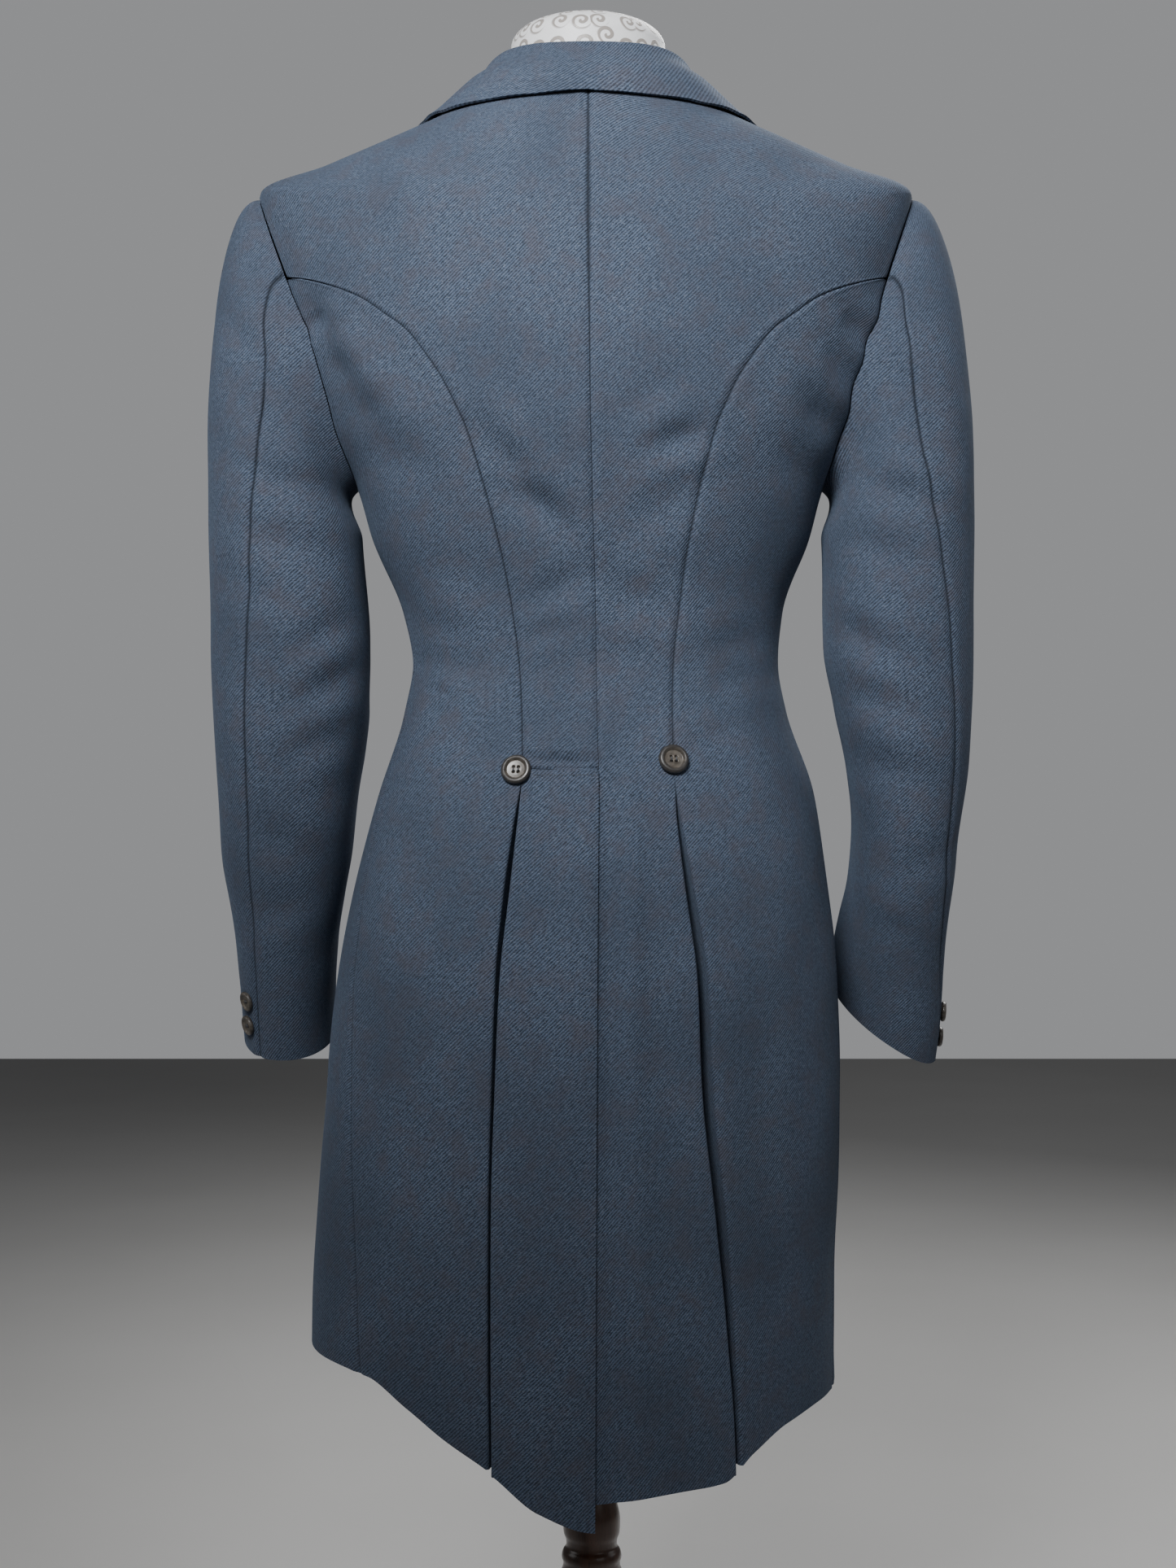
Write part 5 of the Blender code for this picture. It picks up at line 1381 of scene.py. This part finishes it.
@once
def wool(name):
    """Slate wool twill: fine slanting ribs from a banded wave on the weave map, a melange of dark and
    pale fibres from stretched noises, soft tonal patches of handling, and painted shade along the seams."""
    settings = bpy.context.scene.frock_coat
    n = Nodes(name)
    base = settings.wool
    place = n.add("ShaderNodeUVMap", uv_map="weave").outputs[0]
    solid = n.add("ShaderNodeTexCoord").outputs["Object"]
    rib = n.add("ShaderNodeTexWave", {"Scale": 0.4443 / settings.twill, "Distortion": 1.1, "Detail": 2.0,
                                      "Detail Scale": 2.0, "Vector": place},
                wave_type="BANDS", bands_direction="DIAGONAL").outputs["Fac"]
    yarn = n.noise(n.stretch(place, (1500, 900, 1)), 1.0, 2.0, 0.6)
    fleck = n.noise(n.stretch(place, (520, 1500, 1)), 1.0, 1.0, 0.5)
    knot = n.noise(n.stretch(place, (330, 560, 1)), 1.0, 1.0, 0.5)
    mottle = n.noise(place, 330.0, 3.0, 0.65)
    cloud = n.noise(solid, 62.0, 3.0, 0.6)
    patch = n.noise(solid, 13.0, 2.0, 0.5)
    tone = n.math("ADD", n.math("MULTIPLY", yarn, 0.30), n.math("MULTIPLY", mottle, 0.46))
    tone = n.math("ADD", tone, n.math("MULTIPLY", rib, 0.24))
    colour = n.mix(n.span(tone, 0.34, 0.66), tinted(base, 0.34), tinted(base, 1.75))
    colour = n.mix(n.span(fleck, 0.58, 0.72, 0.0, 0.42), colour, (*settings.fibre, 1.0))
    colour = n.mix(n.span(knot, 0.62, 0.74, 0.0, 0.22), colour, (*settings.fibre, 1.0))
    warm = (base[0] * 1.35, base[1] * 0.90, base[2] * 0.72, 1.0)
    colour = n.mix(n.span(cloud, 0.46, 0.68, 0.0, 0.42), colour, warm)
    colour = n.mix(n.span(patch, 0.40, 0.64, 0.0, 0.34), colour, tinted(base, 0.62))
    # Painted shade: the wool darkens where the seam attribute is high, along seams and above the vent's step.
    edge = n.add("ShaderNodeAttribute", attribute_name="sewn").outputs["Fac"]
    colour = n.mix(n.span(edge, 0.45, 0.95, 0.0, 0.80), colour, tinted(base, 0.14))
    height = n.math("ADD", n.math("MULTIPLY", rib, 0.6), n.math("MULTIPLY", yarn, 0.4))
    made = n.finish(colour, 0.92, height, 0.7, 0.0005, Specular_IOR_Level=0.20, Sheen_Weight=0.10,
                    Sheen_Roughness=0.5)
    n.shader.inputs["Sheen Tint"].default_value = (0.45, 0.60, 0.85, 1.0)
    return made


@once
def lining(name):
    """Dark cotton lining: a fine ribbed weave with soft patches."""
    settings = bpy.context.scene.frock_coat
    n = Nodes(name)
    place = n.add("ShaderNodeUVMap", uv_map="weave").outputs[0]
    rib = n.add("ShaderNodeTexWave", {"Scale": 320.0, "Distortion": 0.6, "Vector": place},
                wave_type="BANDS", bands_direction="DIAGONAL").outputs["Fac"]
    patch = n.noise(place, 30.0, 3.0, 0.5)
    colour = n.mix(n.math("MULTIPLY", n.math("ADD", rib, patch), 0.5), tinted(settings.lining, 0.7),
                   tinted(settings.lining, 1.3))
    return n.finish(colour, 0.62, rib, 0.3, 0.0002, Specular_IOR_Level=0.35, Sheen_Weight=0.15)


@once
def horn(name):
    """Polished horn: brown and grey streaks from a warped, stretched noise, under a thin gloss."""
    settings = bpy.context.scene.frock_coat
    n = Nodes(name)
    place = n.add("ShaderNodeTexCoord").outputs["Object"]
    flat = n.add("ShaderNodeUVMap", uv_map="weave").outputs[0]
    reach = n.add("ShaderNodeVectorMath", {0: flat}, operation="LENGTH").outputs["Value"]
    streak = n.noise(n.stretch(place, (190, 60, 420)), 1.0, 4.0, 0.6)
    cloud = n.noise(place, 170.0, 3.0, 0.6)
    colour = n.mix(n.span(streak, 0.36, 0.66), tinted(settings.horn, 0.62), tinted(settings.horn, 1.45))
    colour = n.mix(n.span(cloud, 0.50, 0.72, 0.0, 0.4), colour, (0.135, 0.128, 0.120, 1.0))
    rim = n.math("ADD", n.math("MULTIPLY", cloud, 0.0010), reach)
    colour = n.mix(n.span(rim, 0.0066, 0.0088, 0.0, 0.72), colour, (0.020, 0.021, 0.024, 1.0))
    rough = n.span(streak, 0.3, 0.7, 0.30, 0.44)
    return n.finish(colour, rough, cloud, 0.10, 0.0002, Coat_Weight=0.22, Coat_Roughness=0.2)


@once
def thread(name):
    """Twisted sewing thread in the cloth's own colour, a little paler, with fine slanting plies."""
    n = Nodes(name)
    place = n.add("ShaderNodeTexCoord").outputs["Object"]
    ply = n.add("ShaderNodeTexWave", {"Scale": 420.0, "Distortion": 0.4, "Vector": place},
                wave_type="BANDS", bands_direction="DIAGONAL").outputs["Fac"]
    colour = n.mix(ply, (0.030, 0.034, 0.042, 1.0), (0.085, 0.092, 0.105, 1.0))
    return n.finish(colour, 0.75, ply, 0.4, 0.0002)


@once
def linen(name):
    """The form's linen cover: a plain weave of two crossed waves with slubs and faint soil."""
    settings = bpy.context.scene.frock_coat
    n = Nodes(name)
    place = n.add("ShaderNodeUVMap", uv_map="weave").outputs[0]
    solid = n.add("ShaderNodeTexCoord").outputs["Object"]
    warp = n.add("ShaderNodeTexWave", {"Scale": 260.0, "Distortion": 0.8, "Detail": 1.0, "Vector": place},
                 wave_type="BANDS", bands_direction="X").outputs["Fac"]
    weft = n.add("ShaderNodeTexWave", {"Scale": 260.0, "Distortion": 0.8, "Detail": 1.0, "Vector": place},
                 wave_type="BANDS", bands_direction="Y").outputs["Fac"]
    weave = n.math("MULTIPLY", n.math("ADD", warp, weft), 0.5)
    slub = n.noise(n.stretch(place, (40, 600, 1)), 1.0, 2.0, 0.5)
    soil = n.noise(solid, 14.0, 4.0, 0.6)
    colour = n.mix(weave, tinted(settings.linen, 0.78), tinted(settings.linen, 1.12))
    colour = n.mix(n.span(slub, 0.60, 0.75, 0.0, 0.35), colour, tinted(settings.linen, 1.35))
    colour = n.mix(n.span(soil, 0.52, 0.80, 0.0, 0.45), colour, tinted(settings.linen, 0.62))
    return n.finish(colour, 0.9, weave, 0.5, 0.0004, Specular_IOR_Level=0.2, Sheen_Weight=0.1)


@once
def brocade(name):
    """Silvery brocade with a plain traditional scroll: in each cell of a scattered grid a spiral, from
    the angle round the cell's middle added to the distance from it, raised over a satin ground."""
    n = Nodes(name)
    place = n.add("ShaderNodeUVMap", uv_map="weave").outputs[0]
    bent = n.noise(place, 60.0, 2.0, 0.5)
    cell = n.add("ShaderNodeTexVoronoi", {"Scale": 64.0, "Randomness": 0.55, "Vector": place},
                 voronoi_dimensions="2D")
    away = n.add("ShaderNodeVectorMath", {0: place, 1: cell.outputs["Position"]}, operation="SUBTRACT").outputs[0]
    apart = n.add("ShaderNodeSeparateXYZ", {0: away})
    angle = n.math("ARCTAN2", apart.outputs[1], apart.outputs[0])
    wind = n.math("ADD", n.math("MULTIPLY", cell.outputs["Distance"], 17.0), n.math("MULTIPLY", bent, 2.5))
    scroll = n.span(n.math("SINE", n.math("ADD", angle, wind)), -0.10, 0.28)
    rim = n.span(cell.outputs["Distance"], 0.42, 0.50)
    figure = n.math("MULTIPLY", scroll, n.math("SUBTRACT", 1.0, rim))
    satin = n.noise(n.stretch(place, (2400, 500, 1)), 1.0, 2.0, 0.5)
    ground = n.mix(satin, (0.66, 0.67, 0.69, 1.0), (0.88, 0.89, 0.90, 1.0))
    colour = n.mix(figure, ground, (0.30, 0.275, 0.255, 1.0))
    height = n.math("ADD", n.math("MULTIPLY", figure, 1.0), n.math("MULTIPLY", satin, 0.2))
    rough = n.span(figure, 0.0, 1.0, 0.42, 0.30)
    return n.finish(colour, rough, height, 0.6, 0.0005, Sheen_Weight=0.3)


@once
def oak(name):
    """Dark polished wood: grain drawn out along the turning, fine pores and darker hollows."""
    settings = bpy.context.scene.frock_coat
    n = Nodes(name)
    place = n.add("ShaderNodeTexCoord").outputs["Object"]
    grain = n.noise(n.stretch(place, (90, 90, 7)), 1.0, 5.0, 0.65)
    pores = n.noise(n.stretch(place, (900, 900, 40)), 1.0, 2.0, 0.5)
    rings = n.add("ShaderNodeTexWave", {"Scale": 16.0, "Distortion": 5.0, "Detail": 3.0, "Vector": place},
                  wave_type="RINGS", rings_direction="Z").outputs["Fac"]
    colour = n.mix(n.span(grain, 0.30, 0.70), tinted(settings.oak, 0.45), tinted(settings.oak, 1.7))
    colour = n.mix(n.math("MULTIPLY", rings, 0.35), colour, tinted(settings.oak, 0.6))
    colour = n.mix(n.span(pores, 0.62, 0.72, 0.0, 0.6), colour, tinted(settings.oak, 0.2))
    rough = n.span(grain, 0.3, 0.7, 0.26, 0.42)
    return n.finish(colour, rough, pores, 0.15, 0.0003, Coat_Weight=0.45, Coat_Roughness=0.18)


@once
def floor_paint(name):
    """Plain pale floor with the faintest unevenness."""
    n = Nodes(name)
    place = n.add("ShaderNodeTexCoord").outputs["Object"]
    cloud = n.noise(place, 2.5, 3.0, 0.5)
    colour = n.mix(cloud, (0.60, 0.595, 0.585, 1.0), (0.66, 0.655, 0.645, 1.0))
    return n.finish(colour, 0.85, cloud, 0.05, 0.001)


def studio():
    """The floor as one flat grid, soft lights, pale surroundings, and the camera at the photo's place."""
    spread = np.linspace(-6, 6, 13)
    x, y = np.meshgrid(spread, spread, indexing="ij")
    points = np.stack([x, y, 0 * x - 0.0005], axis=-1).reshape(-1, 3)
    ids = np.arange(len(points)).reshape(x.shape)
    quads = np.stack([ids[:-1, :-1], ids[1:, :-1], ids[1:, 1:], ids[:-1, 1:]], axis=-1).reshape(-1, 4)
    mesh = bpy.data.meshes.new("floor")
    mesh.from_pydata(points.tolist(), [], quads.tolist())
    mesh.materials.append(floor_paint())
    floor = bpy.data.objects.new("floor", mesh)
    bpy.context.scene.collection.objects.link(floor)
    world = bpy.context.scene.world or bpy.data.worlds.new("studio")
    bpy.context.scene.world = world
    world.use_nodes = True
    tree = world.node_tree
    back = tree.nodes["Background"]
    back.inputs["Color"].default_value = (0.80, 0.81, 0.83, 1.0)
    seen = tree.nodes.new("ShaderNodeLightPath")
    strength = tree.nodes.new("ShaderNodeMapRange")
    strength.inputs["To Min"].default_value = 0.09
    strength.inputs["To Max"].default_value = 0.36
    tree.links.new(seen.outputs["Is Camera Ray"], strength.inputs["Value"])
    tree.links.new(strength.outputs[0], back.inputs["Strength"])
    for name, place, aim, size, spread, power in LIGHTS:
        lamp = bpy.data.lights.new(name, "AREA")
        lamp.shape = "RECTANGLE"
        lamp.size, lamp.size_y = size
        lamp.spread = math.radians(spread)
        lamp.energy = power * bpy.context.scene.frock_coat.light
        thing = bpy.data.objects.new(name, lamp)
        way = np.array(aim) - np.array(place)
        thing.location = place
        flat = math.hypot(way[0], way[1])
        thing.rotation_euler = (math.atan2(flat, -way[2]), 0, math.atan2(-way[0], way[1]))
        bpy.context.scene.collection.objects.link(thing)
    view = bpy.data.cameras.new("photo_view")
    view.sensor_fit = "VERTICAL"
    view.sensor_height = 24.0
    view.lens = 24.0 * 2700 / 1927
    camera = bpy.data.objects.new("photo_view", view)
    camera.location = (0.0026, 1.585, 0.948)
    camera.rotation_euler = (math.pi / 2, 0, math.pi)
    bpy.context.scene.collection.objects.link(camera)
    bpy.context.scene.camera = camera


# The studio's lights: name, place, what each is aimed at, size and power.
LIGHTS = [
    ("key", (0.45, 1.75, 2.30), (0.0, 0.12, 1.42), (0.8, 0.8), 46.0, 6.8),
    ("fill", (-1.6, 2.2, 1.9), (0.0, 0.0, 1.20), (1.4, 1.4), 180.0, 3.5),
    ("front_key", (-1.0, -1.8, 2.75), (0.0, 0.0, 1.20), (1.3, 1.3), 180.0, 52.0),
    ("side_left", (2.6, 0.0, 1.8), (0.0, 0.0, 1.0), (1.4, 1.4), 180.0, 5.0),
    ("side_right", (-2.6, -0.4, 1.8), (0.0, 0.0, 1.0), (1.4, 1.4), 180.0, 4.0),
]


class FrockCoatSettings(bpy.types.PropertyGroup):
    """The sizes and colours that a user would change."""

    wall: bpy.props.FloatProperty(name="Cloth thickness", description="How thick the coat's wall is",
                                  default=WALL, min=0.0008, max=0.003, unit="LENGTH", precision=4)
    seam_depth: bpy.props.FloatProperty(name="Seam depth", description="How deep the seams are pressed in",
                                        default=0.0012, min=0.0, max=0.003, unit="LENGTH", precision=4)
    creases: bpy.props.FloatProperty(name="Creases", description="How strong the creases are",
                                     default=1.0, min=0.0, max=1.5)
    twill: bpy.props.FloatProperty(name="Twill pitch", description="The distance from rib to rib",
                                   default=0.0018, min=0.0008, max=0.004, unit="LENGTH", precision=4)
    wool: bpy.props.FloatVectorProperty(name="Wool", description="The coat's colour", subtype="COLOR",
                                        default=(0.056, 0.075, 0.112), min=0.0, max=1.0)
    fibre: bpy.props.FloatVectorProperty(name="Pale fibres", description="The colour of the pale fibres",
                                         subtype="COLOR", default=(0.22, 0.25, 0.31), min=0.0, max=1.0)
    lining: bpy.props.FloatVectorProperty(name="Lining", description="The inside's colour", subtype="COLOR",
                                          default=(0.024, 0.023, 0.025), min=0.0, max=1.0)
    horn: bpy.props.FloatVectorProperty(name="Horn", description="The buttons' colour", subtype="COLOR",
                                        default=(0.085, 0.073, 0.060), min=0.0, max=1.0)
    linen: bpy.props.FloatVectorProperty(name="Linen", description="The form's colour", subtype="COLOR",
                                         default=(0.42, 0.38, 0.31), min=0.0, max=1.0)
    oak: bpy.props.FloatVectorProperty(name="Wood", description="The stand's colour", subtype="COLOR",
                                       default=(0.070, 0.032, 0.018), min=0.0, max=1.0)
    light: bpy.props.FloatProperty(name="Light", description="The strength of the studio's lights",
                                   default=1.0, min=0.1, max=4.0)


class FROCK_OT_body(bpy.types.Operator):
    """Make the back, the side bodies and the fronts"""

    bl_idname = "frock_coat.body"
    bl_label = "Body"

    def execute(self, context):
        for side in (1, -1):
            back_panel(side)
            side_panel(side)
            front_panel(side)
        return {"FINISHED"}


class FROCK_OT_collar(bpy.types.Operator):
    """Make the collar and the lapels"""

    bl_idname = "frock_coat.collar"
    bl_label = "Collar and Lapels"

    def execute(self, context):
        collar()
        lapel(1)
        lapel(-1)
        return {"FINISHED"}


class FROCK_OT_sleeves(bpy.types.Operator):
    """Make the two sleeves"""

    bl_idname = "frock_coat.sleeves"
    bl_label = "Sleeves"

    def execute(self, context):
        sleeve(1)
        sleeve(-1)
        return {"FINISHED"}


class FROCK_OT_trim(bpy.types.Operator):
    """Make the buttons and the stitches"""

    bl_idname = "frock_coat.trim"
    bl_label = "Buttons and Stitches"

    def execute(self, context):
        buttons()
        stitches()
        return {"FINISHED"}


class FROCK_OT_form(bpy.types.Operator):
    """Make the dress form, its neck cap, the post and the base"""

    bl_idname = "frock_coat.form"
    bl_label = "Form and Stand"

    def execute(self, context):
        form()
        stand()
        return {"FINISHED"}


class FROCK_OT_stage(bpy.types.Operator):
    """Make the floor, the lights and the camera"""

    bl_idname = "frock_coat.stage"
    bl_label = "Stage"

    def execute(self, context):
        studio()
        return {"FINISHED"}


class FROCK_PT_panel(bpy.types.Panel):
    """The coat's sizes, colours and pieces in the sidebar"""

    bl_label = "Frock Coat"
    bl_space_type = "VIEW_3D"
    bl_region_type = "UI"
    bl_category = "Frock Coat"

    def draw(self, context):
        settings = context.scene.frock_coat
        for name in FrockCoatSettings.__annotations__:
            self.layout.prop(settings, name)
        for made in OPERATORS:
            self.layout.operator(made.bl_idname)


OPERATORS = (FROCK_OT_stage, FROCK_OT_form, FROCK_OT_body, FROCK_OT_collar, FROCK_OT_sleeves, FROCK_OT_trim)


def register():
    """Registers the settings, the operators and the panel."""
    for made in (FrockCoatSettings, *OPERATORS, FROCK_PT_panel):
        bpy.utils.register_class(made)
    bpy.types.Scene.frock_coat = bpy.props.PointerProperty(type=FrockCoatSettings)


def unregister():
    """Takes them away again."""
    del bpy.types.Scene.frock_coat
    for made in reversed((FrockCoatSettings, *OPERATORS, FROCK_PT_panel)):
        bpy.utils.unregister_class(made)


def main():
    """Makes every piece in order."""
    register()
    for step in (
        bpy.ops.frock_coat.stage,
        bpy.ops.frock_coat.form,
        bpy.ops.frock_coat.body,
        bpy.ops.frock_coat.collar,
        bpy.ops.frock_coat.sleeves,
        bpy.ops.frock_coat.trim,
    ):
        step()


if __name__ == "__main__":
    main()
